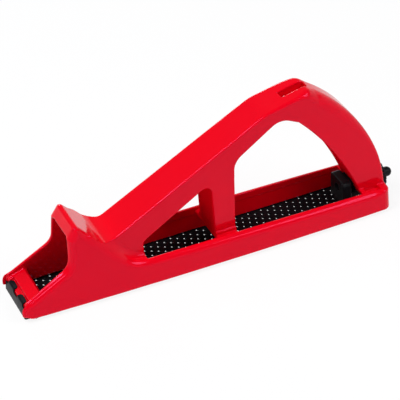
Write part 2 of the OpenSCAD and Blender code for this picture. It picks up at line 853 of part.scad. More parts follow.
// Pocket that keeps the square nut from turning, open upwards
module nut_pocket() {
    width = nut_width + 2 * press_gap;
    translate([nut_x - press_gap, -width / 2, screw_height - width / 2])
        cube([nut_thickness + 2 * press_gap, width, width + past]);
}

module square_nut() {
    color([0.6, 0.61, 0.63]) place() difference() {
        translate([nut_x, -nut_width / 2, screw_height - nut_width / 2])
            cube([nut_thickness, nut_width, nut_width]);
        on_screw_axis(nut_x - past)
            cylinder(d = screw_diameter + 2 * press_gap, h = nut_thickness + 2 * past);
    }
}

// Steel plate under the block, whose upturned lip pulls the blade's rear tab
module hook_plate() {
    lip_front_x = lip_rear_x - hook_thickness;
    plate_top = slide_gap + hook_thickness;
    color([0.5, 0.51, 0.53]) place() difference() {
        side_plate(tab_width) polygon([
            [plate_front_x, slide_gap], [lip_rear_x, slide_gap], [lip_rear_x, tab_height],
            [lip_front_x, tab_height], [lip_front_x, plate_top], [plate_front_x, plate_top]]);
        for (side = [-1, 1])
            translate([hook_screw_x, side * hook_screw_spacing / 2, slide_gap])
                rotate_extrude() polygon(screw_seat(press_gap));
    }
}

// Half section of a countersunk screw where it passes the hook plate, with a gap round it
function screw_seat(gap) =
    let (head = hook_screw_diameter + gap, shaft = hook_screw_diameter / 2 + gap)
    [[0, -past], [head, -past], [head, 0], [shaft, hook_thickness], [shaft, hook_thickness + past],
     [0, hook_thickness + past]];

module hook_screws() {
    color([0.45, 0.46, 0.48]) place()
        for (side = [-1, 1])
            translate([hook_screw_x, side * hook_screw_spacing / 2, slide_gap])
                rotate_extrude()
                    polygon([[0, 0], [hook_screw_diameter, 0],
                             [hook_screw_diameter / 2, hook_thickness],
                             [hook_screw_diameter / 2, hook_screw_length - hook_screw_diameter / 2],
                             [0, hook_screw_length]]);
}

body();
rasp_blade();
tension_knob();
tension_screw();
thrust_washer();
retaining_ring();
tension_block();
square_nut();
hook_plate();
hook_screws();
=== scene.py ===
# %% [markdown]
# This lesson dresses a drywall plane. The plane is a red moulded body over a black
# perforated blade, with a screw at the tail that pulls the blade tight.
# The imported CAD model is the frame: it says where every piece is, and it never moves.
# Blender adds what the CAD leaves out, such as soft edges, fillets, punched teeth,
# a screw thread, and the gloss of the plastic.

# %% Load the frame
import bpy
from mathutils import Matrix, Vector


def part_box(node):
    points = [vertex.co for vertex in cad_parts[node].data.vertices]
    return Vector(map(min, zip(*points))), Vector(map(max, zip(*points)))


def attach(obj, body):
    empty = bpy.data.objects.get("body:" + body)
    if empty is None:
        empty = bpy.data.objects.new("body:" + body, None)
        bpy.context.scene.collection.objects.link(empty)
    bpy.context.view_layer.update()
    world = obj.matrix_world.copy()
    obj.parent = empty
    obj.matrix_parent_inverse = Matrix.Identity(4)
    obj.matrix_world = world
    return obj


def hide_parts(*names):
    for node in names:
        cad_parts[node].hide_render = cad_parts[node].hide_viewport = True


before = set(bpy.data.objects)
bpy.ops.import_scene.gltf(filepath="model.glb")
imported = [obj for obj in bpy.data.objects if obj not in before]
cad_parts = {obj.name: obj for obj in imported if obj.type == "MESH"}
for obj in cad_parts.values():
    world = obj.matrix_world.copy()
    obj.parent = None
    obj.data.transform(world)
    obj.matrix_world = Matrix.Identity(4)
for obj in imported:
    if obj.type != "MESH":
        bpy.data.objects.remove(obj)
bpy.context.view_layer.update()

# %% Modules
import math

import bpy
import numpy as np
from mathutils import Matrix, Vector, geometry

# %% [markdown]
# The drawing of the plane is kept in millimetres, from the nose tip, the centre plane and
# the blade's upper face. Blender works in metres in the frame's own axes, so one function
# moves points from the drawing into the frame. Its offsets come from the CAD boxes.

# %% From the drawing to the frame
MM = 0.001
BODY_LENGTH = 268.6
SHEET = 0.8
TOOTH_HEIGHT = 1.0
nose_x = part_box("body")[1].x - BODY_LENGTH * MM
blade_top_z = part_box("rasp_blade")[0].z + (SHEET + TOOTH_HEIGHT) * MM


def to_frame(points):
    return np.asarray(points, float) * MM + (nose_x, 0.0, blade_top_z)


print("nose tip at x", round(nose_x, 5), "and blade's face at z", round(blade_top_z, 5))

# %% [markdown]
# The photograph looks down on the plane from the left of its nose, through a long lens.
# The rows of holes in the blade gave the angle and the distance. The camera points at one
# place on the floor and is then rolled a little about its own line of sight.

# %% Camera
CAMERA_AZIMUTH = -22.30
CAMERA_ELEVATION = 36.0
CAMERA_ROLL = -3.505
CAMERA_DISTANCE = 1.3637
CAMERA_LENS = 176.36
CAMERA_TARGET = Vector((0.01588, 0.0470, 0.0018))
HALF_PIXEL = 0.5 / 400

azimuth, elevation = math.radians(CAMERA_AZIMUTH), math.radians(CAMERA_ELEVATION)
backward = Vector((
    math.sin(azimuth) * math.cos(elevation),
    -math.cos(azimuth) * math.cos(elevation),
    math.sin(elevation),
))
camera_data = bpy.data.cameras.new("camera")
camera_data.sensor_width = 36
camera_data.lens = CAMERA_LENS
camera_data.shift_x = -HALF_PIXEL
camera_data.shift_y = HALF_PIXEL
camera = bpy.data.objects.new("camera", camera_data)
bpy.context.scene.collection.objects.link(camera)
camera.location = CAMERA_TARGET + backward * CAMERA_DISTANCE
turned = (-backward).to_track_quat("-Z", "Y").to_matrix()
rolled = turned @ Matrix.Rotation(math.radians(CAMERA_ROLL), 3, "Z")
camera.rotation_euler = rolled.to_euler()
bpy.context.scene.camera = camera
print("camera at", [round(v, 4) for v in camera.location])

# %% [markdown]
# A product photograph has a white sweep under and behind the object. Here it is a wide disc
# with a low wall round it. Its material shows the camera mostly plain white, so that only a
# faint shadow is left. Reflections see the same white, and it is an ordinary pale surface
# for the light that falls on it.

# %% Helpers for materials
def new_material(name):
    material = bpy.data.materials.new(name)
    material.use_nodes = True
    material.node_tree.nodes.clear()
    return material, material.node_tree


def add_node(tree, kind, values=None, **settings):
    node = tree.nodes.new(kind)
    for key, value in settings.items():
        setattr(node, key, value)
    for key, value in (values or {}).items():
        node.inputs[key].default_value = value
    return node


# %% Sweep of floor and wall
SWEEP_RADIUS = 8.0
SWEEP_BEND = 1.0
SWEEP_HEIGHT = 2.4
SWEEP_SIDES = 96
FLOOR_COLOUR = (0.86, 0.86, 0.87, 1.0)
FLOOR_WHITE_SHARE = 0.88


def floor_material():
    material, tree = new_material("pale_floor")
    link = tree.links.new
    diffuse = add_node(tree, "ShaderNodeBsdfDiffuse", {"Color": FLOOR_COLOUR})
    glow = add_node(tree, "ShaderNodeEmission", {"Color": (1, 1, 1, 1), "Strength": 1.0})
    path = add_node(tree, "ShaderNodeLightPath")
    seen = add_node(tree, "ShaderNodeMath", operation="MAXIMUM")
    through = add_node(tree, "ShaderNodeMath", operation="MAXIMUM")
    share = add_node(tree, "ShaderNodeMath", {1: FLOOR_WHITE_SHARE}, operation="MULTIPLY")
    mix = add_node(tree, "ShaderNodeMixShader")
    output = add_node(tree, "ShaderNodeOutputMaterial")
    link(path.outputs["Is Camera Ray"], seen.inputs[0])
    link(path.outputs["Is Glossy Ray"], seen.inputs[1])
    link(seen.outputs[0], through.inputs[0])
    link(path.outputs["Is Transmission Ray"], through.inputs[1])
    link(through.outputs[0], share.inputs[0])
    link(share.outputs[0], mix.inputs[0])
    link(diffuse.outputs[0], mix.inputs[1])
    link(glow.outputs[0], mix.inputs[2])
    link(mix.outputs[0], output.inputs[0])
    return material


def sweep_profile():
    """Radius and height of the sweep, from near the middle out to the top of the wall."""
    profile = [(0.01, 0.0), (SWEEP_RADIUS - SWEEP_BEND, 0.0)]
    for k in range(1, 9):
        angle = math.pi / 2 * k / 8
        profile.append((SWEEP_RADIUS - SWEEP_BEND + SWEEP_BEND * math.sin(angle),
                        SWEEP_BEND - SWEEP_BEND * math.cos(angle)))
    return profile + [(SWEEP_RADIUS, SWEEP_HEIGHT)]


sweep_points, sweep_faces = [], [list(range(SWEEP_SIDES))]
for radius, height in sweep_profile():
    for k in range(SWEEP_SIDES):
        angle = 2 * math.pi * k / SWEEP_SIDES
        sweep_points.append((radius * math.cos(angle), radius * math.sin(angle), height))
for first in range(0, len(sweep_points) - SWEEP_SIDES, SWEEP_SIDES):
    for k in range(SWEEP_SIDES):
        right = (k + 1) % SWEEP_SIDES
        sweep_faces.append((first + k, first + SWEEP_SIDES + k,
                            first + SWEEP_SIDES + right, first + right))
sweep_mesh = bpy.data.meshes.new("sweep")
sweep_mesh.from_pydata(sweep_points, [], sweep_faces)
sweep_mesh.materials.append(floor_material())
sweep = bpy.data.objects.new("sweep", sweep_mesh)
bpy.context.scene.collection.objects.link(sweep)
print("sweep", 2 * SWEEP_RADIUS, "m across")

# %% [markdown]
# The light is plain and soft. A dim, slightly cool room lights every side a little. A large
# softbox in front and to the right is the main light, and one overhead brightens the top
# faces. A small one beside the camera and a wide one behind draw pale lines along the
# rounded edges, because polished plastic mirrors a lamp most clearly at its edges.

# %% World and lamps
WORLD_COLOUR = (0.90, 0.94, 1.0, 1.0)
WORLD_LEVEL = 0.20
LAMPS = {
    # name: (place, width, watts)
    "key_softbox": ((0.62, -0.55, 0.75), 0.50, 4.6),
    "top_softbox": ((-0.75, -0.06, 1.45), 0.60, 20.0),
    "edge_lamp": ((-0.75, -1.05, 1.00), 0.20, 1.5),
    "back_softbox": ((0.10, 1.50, 0.50), 0.60, 8.0),
}

world = bpy.data.worlds.new("studio")
world.use_nodes = True
room_light = world.node_tree.nodes["Background"]
room_light.inputs["Color"].default_value = WORLD_COLOUR
room_light.inputs["Strength"].default_value = WORLD_LEVEL
bpy.context.scene.world = world
for name, (place, width, watts) in LAMPS.items():
    data = bpy.data.lights.new(name, "AREA")
    data.size = width
    data.energy = watts
    lamp = bpy.data.objects.new(name, data)
    lamp.location = place
    lamp.rotation_euler = (-Vector(place)).to_track_quat("-Z", "Y").to_euler()
    bpy.context.scene.collection.objects.link(lamp)
bpy.context.scene.view_settings.view_transform = "Standard"
print("lamps:", list(LAMPS))

# %% [markdown]
# The body is one moulding, and no edge on it is sharp. Bevels on boolean cuts break where
# many of them meet, so the body is modelled as a distance field: a function that gives how
# far a point is from the surface, and is negative inside. Two fields can be joined, cut or
# intersected with a radius, which makes the fillets and rounded edges of a moulding.

# %% Joining and cutting distance fields
def meet(first, second, radius):
    """What both fields share, with the edge between them rounded outwards."""
    corner = np.hypot(np.maximum(first + radius, 0), np.maximum(second + radius, 0))
    return np.minimum(-radius, np.maximum(first, second)) + corner


def join(first, second, radius):
    """Both fields together, with a fillet in the corner between them."""
    corner = np.hypot(np.maximum(radius - first, 0), np.maximum(radius - second, 0))
    return np.maximum(radius, np.minimum(first, second)) - corner


def cut(first, second, radius):
    """The first field with the second taken away."""
    return meet(first, -second, radius)


def between(value, low, high):
    """Distance to a slab from low to high."""
    return np.maximum(low - value, value - high)


def ramp(value, start, end):
    """Goes smoothly from 0 at start to 1 at end."""
    share = np.clip((value - start) / (end - start), 0, 1)
    return share * share * (3 - 2 * share)


# %% [markdown]
# Most of the body's shapes are side views that run across it. A side view is a list of
# corners, and a corner with a third number is rounded to that radius.

# %% Outlines and their distance
ARC_STEP = math.radians(5)


def rounded(corners):
    outline = []
    for i, corner in enumerate(corners):
        here = np.array(corner[:2], float)
        if len(corner) < 3:
            outline.append(here)
            continue
        before = np.array(corners[i - 1][:2], float) - here
        after = np.array(corners[(i + 1) % len(corners)][:2], float) - here
        before, after = before / np.linalg.norm(before), after / np.linalg.norm(after)
        half = math.acos(float(before @ after)) / 2
        middle = (before + after) / np.linalg.norm(before + after)
        centre = here + middle * corner[2] / math.sin(half)
        start = here + before * corner[2] / math.tan(half) - centre
        end = here + after * corner[2] / math.tan(half) - centre
        first = math.atan2(start[1], start[0])
        sweep = (math.atan2(end[1], end[0]) - first + math.pi) % (2 * math.pi) - math.pi
        steps = max(2, math.ceil(abs(sweep) / ARC_STEP))
        for k in range(steps + 1):
            angle = first + sweep * k / steps
            outline.append(centre + corner[2] * np.array((math.cos(angle), math.sin(angle))))
    return np.array(outline)


def outline_distance(outline, x, z):
    x, z = np.broadcast_arrays(x, z)
    nearest = np.full(x.shape, np.inf)
    inside = np.zeros(x.shape, bool)
    for (x0, z0), (x1, z1) in zip(outline, np.roll(outline, -1, axis=0)):
        dx, dz = x1 - x0, z1 - z0
        share = np.clip(((x - x0) * dx + (z - z0) * dz) / max(dx * dx + dz * dz, 1e-12), 0, 1)
        nearest = np.minimum(nearest, (x - x0 - share * dx) ** 2 + (z - z0 - share * dz) ** 2)
        if dz:
            inside ^= ((z0 > z) != (z1 > z)) & (x < x0 + (z - z0) * dx / dz)
    return np.where(inside, -1, 1) * np.sqrt(nearest)


# %% A side view's distance, worked out once and looked up after
TABLE_CELL = 0.25
TABLE_EDGE = 8.0


def side_view(outline, low=(0, 0), high=(BODY_LENGTH, 110)):
    starts = np.array(low, float) - TABLE_EDGE
    counts = np.ceil((np.array(high, float) + TABLE_EDGE - starts) / TABLE_CELL).astype(int) + 1
    xs = starts[0] + TABLE_CELL * np.arange(counts[0])[:, None]
    zs = starts[1] + TABLE_CELL * np.arange(counts[1])[None, :]
    table = outline_distance(outline, xs, zs)

    def distance(x, z):
        across = np.clip((np.asarray(x) - starts[0]) / TABLE_CELL, 0, counts[0] - 1.001)
        up = np.clip((np.asarray(z) - starts[1]) / TABLE_CELL, 0, counts[1] - 1.001)
        i, k = across.astype(int), up.astype(int)
        u, v = across - i, up - k
        lower = table[i, k] * (1 - u) + table[i + 1, k] * u
        upper = table[i, k + 1] * (1 - u) + table[i + 1, k + 1] * u
        return lower * (1 - v) + upper * v

    return distance


# %% [markdown]
# A field becomes a mesh with the surface net method. Each cell of a grid that the surface
# passes through gets one point, and the points of neighbouring cells are joined to quads.
# The net is then thinned with the Decimate modifier, which keeps points where the surface
# curves, and each point is drawn onto the field's surface. The field also gives the exact
# direction of the surface for the shading.

# %% Surface net
def surface_net(values, starts, cell):
    shape = np.array(values.shape)
    cells = shape - 1
    inside = values < 0
    total = int(np.prod(cells))
    sums, hits, rings = np.zeros((total, 3)), np.zeros(total), []
    for axis in range(3):
        low = [slice(None)] * 3
        high = [slice(None)] * 3
        low[axis], high[axis] = slice(0, -1), slice(1, None)
        places = np.argwhere(inside[tuple(low)] != inside[tuple(high)])
        others = [a for a in range(3) if a != axis]
        safe = np.all([(places[:, a] > 0) & (places[:, a] < shape[a] - 1) for a in others], axis=0)
        places = places[safe]
        ends = places + np.eye(3, dtype=int)[axis]
        first, second = values[tuple(places.T)], values[tuple(ends.T)]
        points = places.astype(float)
        points[:, axis] += first / (first - second)
        around = []
        for back in ((1, 1), (0, 1), (0, 0), (1, 0)):
            corner = places.copy()
            corner[:, others[0]] -= back[0]
            corner[:, others[1]] -= back[1]
            ids = np.ravel_multi_index(tuple(corner.T), tuple(cells))
            around.append(ids)
            hits += np.bincount(ids, minlength=total)
            for a in range(3):
                sums[:, a] += np.bincount(ids, weights=points[:, a], minlength=total)
        ring = np.stack(around, axis=1)
        flip = (first < 0) == (axis == 1)
        ring[flip] = ring[flip][:, ::-1]
        rings.append(ring)
    used = np.flatnonzero(hits)
    number = np.full(total, -1)
    number[used] = np.arange(len(used))
    points = sums[used] / hits[used][:, None] * cell + starts
    return points, number[np.concatenate(rings)]


# %% From a field to a finished object
GRADIENT_STEP = 0.2


def field_gradient(field, points):
    columns = []
    for axis in range(3):
        step = np.zeros(3)
        step[axis] = GRADIENT_STEP
        ahead, behind = points + step, points - step
        columns.append(field(*ahead.T) - field(*behind.T))
    return np.stack(columns, axis=1) / (2 * GRADIENT_STEP)


def settle(field, points, rounds=3):
    for _ in range(rounds):
        slope = field_gradient(field, points)
        size = np.maximum((slope ** 2).sum(1), 0.25)
        move = slope * (field(*points.T) / size)[:, None]
        length = np.maximum(np.linalg.norm(move, axis=1), 1e-9)
        points = points - move * np.minimum(1, 0.5 / length)[:, None]
    return points


def new_object(name, points, faces, smooth=True):
    mesh = bpy.data.meshes.new(name)
    mesh.from_pydata(np.asarray(points).tolist(), [], [list(map(int, f)) for f in faces])
    mesh.polygons.foreach_set("use_smooth", [smooth] * len(mesh.polygons))
    mesh.update()
    piece = bpy.data.objects.new(name, mesh)
    bpy.context.scene.collection.objects.link(piece)
    return piece


def thinned(piece, most_triangles):
    triangles = sum(len(p.vertices) - 2 for p in piece.data.polygons)
    if triangles > most_triangles:
        modifier = piece.modifiers.new("thin", "DECIMATE")
        modifier.ratio = most_triangles / triangles
        graph = bpy.context.evaluated_depsgraph_get()
        mesh = bpy.data.meshes.new_from_object(piece.evaluated_get(graph))
        piece.modifiers.clear()
        piece.data = mesh
    return piece


def moulded(name, field, low, high, cell, most_triangles=180_000):
    low, high = np.array(low, float) - 2 * cell, np.array(high, float) + 2 * cell
    counts = np.ceil((high - low) / cell).astype(int) + 1
    axes = [low[a] + cell * np.arange(counts[a]) for a in range(3)]
    values = field(axes[0][:, None, None], axes[1][None, :, None], axes[2][None, None, :])
    points, faces = surface_net(values, low, cell)
    piece = thinned(new_object(name, settle(field, points), faces), most_triangles)
    mesh = piece.data
    places = np.array([v.co for v in mesh.vertices], float)
    places = settle(field, places, rounds=2)
    normals = field_gradient(field, places)
    normals /= np.maximum(np.linalg.norm(normals, axis=1), 1e-9)[:, None]
    mesh.vertices.foreach_set("co", to_frame(places).astype(np.float32).ravel())
    mesh.polygons.foreach_set("use_smooth", [True] * len(mesh.polygons))
    mesh.update()
    mesh.normals_split_custom_set_from_vertices(normals.tolist())
    print(name, len(mesh.vertices), "points,", len(mesh.polygons), "faces")
    return piece


# %% [markdown]
# The hull is the body without its handle. From the side it is a low rail with a tall horn
# at the nose, and from above it is a slim lozenge whose sides lean in. The two views are
# met with a radius that changes along the body: small at the skirt, wide on the shoulders.

# %% Hull
RAIL_FRONT, RAIL_REAR = 19.0, 15.8
CREST = (43.2, 58.8)
HORN_SLOPE = math.radians(48)
RIM_SLOPE = math.radians(28.8)
TIP_HEIGHT = 10.4
RIM_TURN_X = 35.4
RIM_TOP = (37.0, 49.5)
SKIRT = 0.5
SIDE_LEAN = math.radians(5)
NOSE_WIDTH, TAIL_WIDTH, SIDE_SWELL = 42.6, 47.6, 2.2
rail_start_x = CREST[0] + (CREST[1] - RAIL_FRONT) / math.tan(HORN_SLOPE)
rail_fall = (RAIL_FRONT - RAIL_REAR) / (BODY_LENGTH - rail_start_x)


def rail_top(x):
    return RAIL_FRONT - (x - rail_start_x) * rail_fall


def half_width(x):
    share = x / BODY_LENGTH
    straight = (NOSE_WIDTH + (TAIL_WIDTH - NOSE_WIDTH) * share) / 2
    return straight + 4 * SIDE_SWELL * share * (1 - share)


OVER = 20.0
side_xs = np.linspace(0, BODY_LENGTH, 25)
plan_half = [(0, -5)] + [(0, half_width(0), 3.0)]
plan_half += [(x, half_width(x)) for x in side_xs[1:-1]]
plan_half += [(BODY_LENGTH, half_width(BODY_LENGTH), 6.0), (BODY_LENGTH, -5)]
plan_at = side_view(rounded(plan_half), low=(0, -2), high=(BODY_LENGTH, 34))

hull_outline = rounded([
    (-OVER, SKIRT), (-OVER, TIP_HEIGHT - OVER * math.tan(RIM_SLOPE)),
    (RIM_TURN_X, TIP_HEIGHT + RIM_TURN_X * math.tan(RIM_SLOPE), 10.0),
    (RIM_TOP[0], RIM_TOP[1], 2.5), (CREST[0], CREST[1], 2.5),
    (rail_start_x, RAIL_FRONT, 23.0),
    (BODY_LENGTH + OVER, rail_top(BODY_LENGTH + OVER)), (BODY_LENGTH + OVER, SKIRT)])
hull_at = side_view(hull_outline)
print("hull from", len(hull_outline), "points, rail starts at", round(rail_start_x, 2), "mm")


def hull_edge(x, z):
    """Radius of the hull's long edges at a place."""
    top = 3.5 + 2.0 * ramp(x, 0, 8) - 0.9 * ramp(x, 60, 85) - 3.1 * ramp(x, 256, 267)
    low = 4.0 - 3.2 * ramp(x, 1, 8)
    return low + (top - low) * ramp(z, 5, 9)


def hull_field(x, y, z):
    side = y * math.cos(SIDE_LEAN) + z * math.sin(SIDE_LEAN)
    return meet(hull_at(x, z), plan_at(x, side), hull_edge(x, z))


# %% [markdown]
# The handle is a thick loop: a strut that climbs from a saddle behind the horn, a flatter
# top with a slot, and a long arch down to the tail. A pillar splits the opening in two.

# %% Handle
SADDLE = (63.9, 35.6)
PEAK = (BODY_LENGTH - 55.2, 105.8)
TOP_LENGTH = 32.8
TOP_SLOPE = math.radians(13.2)
BEND = (PEAK[0] - TOP_LENGTH, PEAK[1] - TOP_LENGTH * math.tan(TOP_SLOPE))
STRUT_SLOPE = math.atan2(BEND[1] - SADDLE[1], BEND[0] - SADDLE[0])
HEEL = (BODY_LENGTH - 0.6, RAIL_REAR)
ARCH_RADIUS = 115.0
BRIDGE_HEIGHT = 12.0
ARCH_STEPS = 24


def strut_top(x):
    return SADDLE[1] + (x - SADDLE[0]) * math.tan(STRUT_SLOPE)


def grip_top(x):
    return BEND[1] + (x - BEND[0]) * math.tan(TOP_SLOPE)


chord = np.array(HEEL) - PEAK
chord_length = np.linalg.norm(chord)
inward = np.array((chord[1], -chord[0])) / chord_length
arch_centre = (np.array(HEEL) + PEAK) / 2 + inward * math.sqrt(ARCH_RADIUS ** 2 - chord_length ** 2 / 4)
peak_angle = math.atan2(PEAK[1] - arch_centre[1], PEAK[0] - arch_centre[0])
heel_angle = math.atan2(HEEL[1] - arch_centre[1], HEEL[0] - arch_centre[0])


def arch_point(angle, depth):
    return tuple(arch_centre + (ARCH_RADIUS - depth) * np.array((math.cos(angle), math.sin(angle))))


start_x = (CREST[0] + SADDLE[0]) / 2
start_height = SADDLE[1] + (SADDLE[0] - start_x) * math.tan(HORN_SLOPE)
outer_arch = [arch_point(peak_angle + (heel_angle - peak_angle) * i / ARCH_STEPS, 0)
              for i in range(2, ARCH_STEPS + 1)]
handle_outline = rounded(
    [(start_x, BRIDGE_HEIGHT), (start_x, start_height), (*SADDLE, 13.0),
     (*BEND, 30.0), (*PEAK, 7.0)] + outer_arch + [(HEEL[0], BRIDGE_HEIGHT)])
handle_at = side_view(handle_outline)

# %% Windows in the handle
PILLAR_FRONT, PILLAR_REAR = BODY_LENGTH - 112.8 - 15.0, BODY_LENGTH - 112.8
PILLAR_FLARE = 1.5
SMALL_WINDOW_X = 89.4
WINDOW_PEAK_X = PEAK[0] - 22.0
ARCH_FOOT_DEPTH, ARCH_HEAD_DEPTH, ARCH_SWELL = 18.4, 22.8, 5.6
BELOW = -10.0
arch_head_angle = peak_angle - math.radians(2.4)
arch_foot_angle = heel_angle - math.radians(2)


def inner_arch(share):
    depth = ARCH_FOOT_DEPTH + (ARCH_HEAD_DEPTH - ARCH_FOOT_DEPTH) * share
    depth += 4 * ARCH_SWELL * share * (1 - share)
    return arch_point(arch_foot_angle + (arch_head_angle - arch_foot_angle) * share, depth)


foot_front_x = inner_arch(0)[0]
small_end_x = PILLAR_FRONT - PILLAR_FLARE
grip_corner_x = PILLAR_REAR + PILLAR_FLARE
small_window_at = side_view(rounded([
    (SMALL_WINDOW_X, BELOW), (SMALL_WINDOW_X, strut_top(SMALL_WINDOW_X) - 20.6, 4.5),
    (small_end_x, strut_top(small_end_x) - 17.8, 4.5),
    (PILLAR_FRONT, RAIL_REAR), (PILLAR_FRONT, BELOW)]))
big_window_at = side_view(rounded(
    [(foot_front_x, BELOW), (PILLAR_REAR, BELOW), (PILLAR_REAR, RAIL_REAR),
     (grip_corner_x, strut_top(grip_corner_x) - 16.9, 12.0),
     (WINDOW_PEAK_X, grip_top(WINDOW_PEAK_X) - 9.5, 12.0)]
    + [inner_arch(1 - i / ARCH_STEPS) for i in range(ARCH_STEPS + 1)]))
print("arch foot starts at", round(foot_front_x, 2), "mm")


def handle_half(x):
    return np.interp(x, (0, SADDLE[0], PEAK[0], BODY_LENGTH), (14.3, 14.3, 12.5, 13.5))


def handle_field(x, y, z):
    edge = np.interp(x, (165, 185, 203, 209, 220, 238, 252, 264), (1.1, 1.6, 2.4, 3.8, 9.0, 7.5, 4.5, 1.2))
    solid = meet(handle_at(x, z), y - handle_half(x), edge)
    solid = cut(solid, small_window_at(x, z), 1.0)
    return cut(solid, big_window_at(x, z), 1.0)


# %% [markdown]
# The nose is hollow and open towards the front, so that dust can fly out. Its floor is a
# panel, and the blade's two ears hook over the panel's front edge into a shallow ledge.

# %% Nose
NOSE_SETBACK = 1.2
FOLD_LEAN = math.radians(8)
FOLD_HALF, FOLD_HEIGHT = 18.4, 6.8
EAR_HEIGHT, EAR_WIDTH, EAR_GAP, EAR_LIP = 9.5, 9.8, 7.0, 2.7
SLIDE_GAP = 0.3
PANEL_REAR_X, PANEL_REAR_HEIGHT, PANEL_EDGE = NOSE_SETBACK + 13.7, 13.7, 2.0
PANEL_CLEARANCE = 2.6
HORN_WALL = 4.0
HOLLOW_HALF, HOLLOW_LEAN = 17.5, math.radians(5)
panel_tail_x = PANEL_REAR_X + PANEL_EDGE
ledge_height = EAR_HEIGHT - SHEET - SLIDE_GAP


def fold_x(height):
    return NOSE_SETBACK + (height + SHEET) * math.tan(FOLD_LEAN)


fold_depth = SHEET / math.cos(FOLD_LEAN)
back_x = rail_start_x - HORN_WALL / math.sin(HORN_SLOPE)
roof_x = back_x - (RIM_TOP[1] - RAIL_FRONT) / math.tan(HORN_SLOPE)
floor_x = back_x + (RAIL_FRONT - BRIDGE_HEIGHT) / math.tan(HORN_SLOPE)
mouth_at = side_view(rounded([
    (-OVER, ledge_height), (-OVER, RIM_TOP[1] + OVER), (PANEL_REAR_X, RIM_TOP[1] + OVER),
    (PANEL_REAR_X, RIM_TOP[1]), (roof_x, RIM_TOP[1], 4.0), (floor_x, BRIDGE_HEIGHT),
    (floor_x, BELOW), (PANEL_REAR_X, BELOW), (PANEL_REAR_X, ledge_height)]))
ledge_x = fold_x(EAR_HEIGHT) + fold_depth + SLIDE_GAP
panel_at = side_view(rounded([
    (fold_x(PANEL_CLEARANCE) + fold_depth + SLIDE_GAP, PANEL_CLEARANCE), (ledge_x, EAR_HEIGHT, 0.5),
    (PANEL_REAR_X, PANEL_REAR_HEIGHT, 1.0), (panel_tail_x, PANEL_REAR_HEIGHT - PANEL_EDGE, 1.0),
    (panel_tail_x, PANEL_CLEARANCE)]))
front_at = side_view(rounded([
    (-OVER, BELOW), (-OVER, TIP_HEIGHT + OVER), (fold_x(EAR_HEIGHT), TIP_HEIGHT + OVER),
    (fold_x(EAR_HEIGHT) + fold_depth + SLIDE_GAP, EAR_HEIGHT),
    (fold_x(0) + fold_depth + SLIDE_GAP, 0), (fold_x(0) + fold_depth + SLIDE_GAP, BELOW)]))


def nose_field(x, y, z):
    """The hull with its hollow nose and the panel across it."""
    wall = y - (HOLLOW_HALF - z * math.tan(HOLLOW_LEAN))
    shell = cut(hull_field(x, y, z), meet(mouth_at(x, z), wall, 2.5), 1.5)
    pocket_x = ledge_x + EAR_LIP + 2 * SLIDE_GAP
    pocket_half = EAR_GAP / 2 + EAR_WIDTH + 2 * SLIDE_GAP
    panel = meet(panel_at(x, z), y - HOLLOW_HALF - 1, 0.3)
    pocket = np.maximum(np.maximum(x - pocket_x, y - pocket_half), ledge_height - z)
    return join(shell, cut(panel, pocket, 0.5), 0.8)


# %% [markdown]
# Under the rails a long channel holds the blade. Two wells open it upwards, a tunnel under
# the arch guides the block of the tensioner, and small pockets lie beside the arch's foot.

# %% Whole body
BLADE_HALF, BLADE_GAP = 20.0, 0.6
FLANGE_HEIGHT = 1.6
RAIL_GAP_HALF = 18.8
TAIL_INNER_X = BODY_LENGTH - 4.0
SCREW_HEIGHT, SCREW_RADIUS = 13.5, 2.5
RIDGE_HALF, RIDGE_HEIGHT = 5.7, 19.6
SLOT_SETBACK, SLOT_LENGTH, SLOT_HALF, SLOT_DEPTH = -1.5, 18.5, 3.3, 7.0
SMALL_EDGE = 0.6
seat_height = FLANGE_HEIGHT + SLIDE_GAP
groove_half = BLADE_HALF - SHEET - SLIDE_GAP
WALL_FOOT_HALF = 17.9


def channel_half(z):
    return WALL_FOOT_HALF + (RAIL_GAP_HALF - WALL_FOOT_HALF) * np.maximum(z / RAIL_FRONT, 0)


def slot_field(x, y, z):
    end_x = PEAK[0] - SLOT_SETBACK
    right, up = x - end_x, z - grip_top(end_x)
    along = right * math.cos(TOP_SLOPE) + up * math.sin(TOP_SLOPE)
    above = up * math.cos(TOP_SLOPE) - right * math.sin(TOP_SLOPE)
    hole = np.maximum(between(along, -SLOT_LENGTH, 0), y - SLOT_HALF)
    return np.maximum(hole, -SLOT_DEPTH - above)


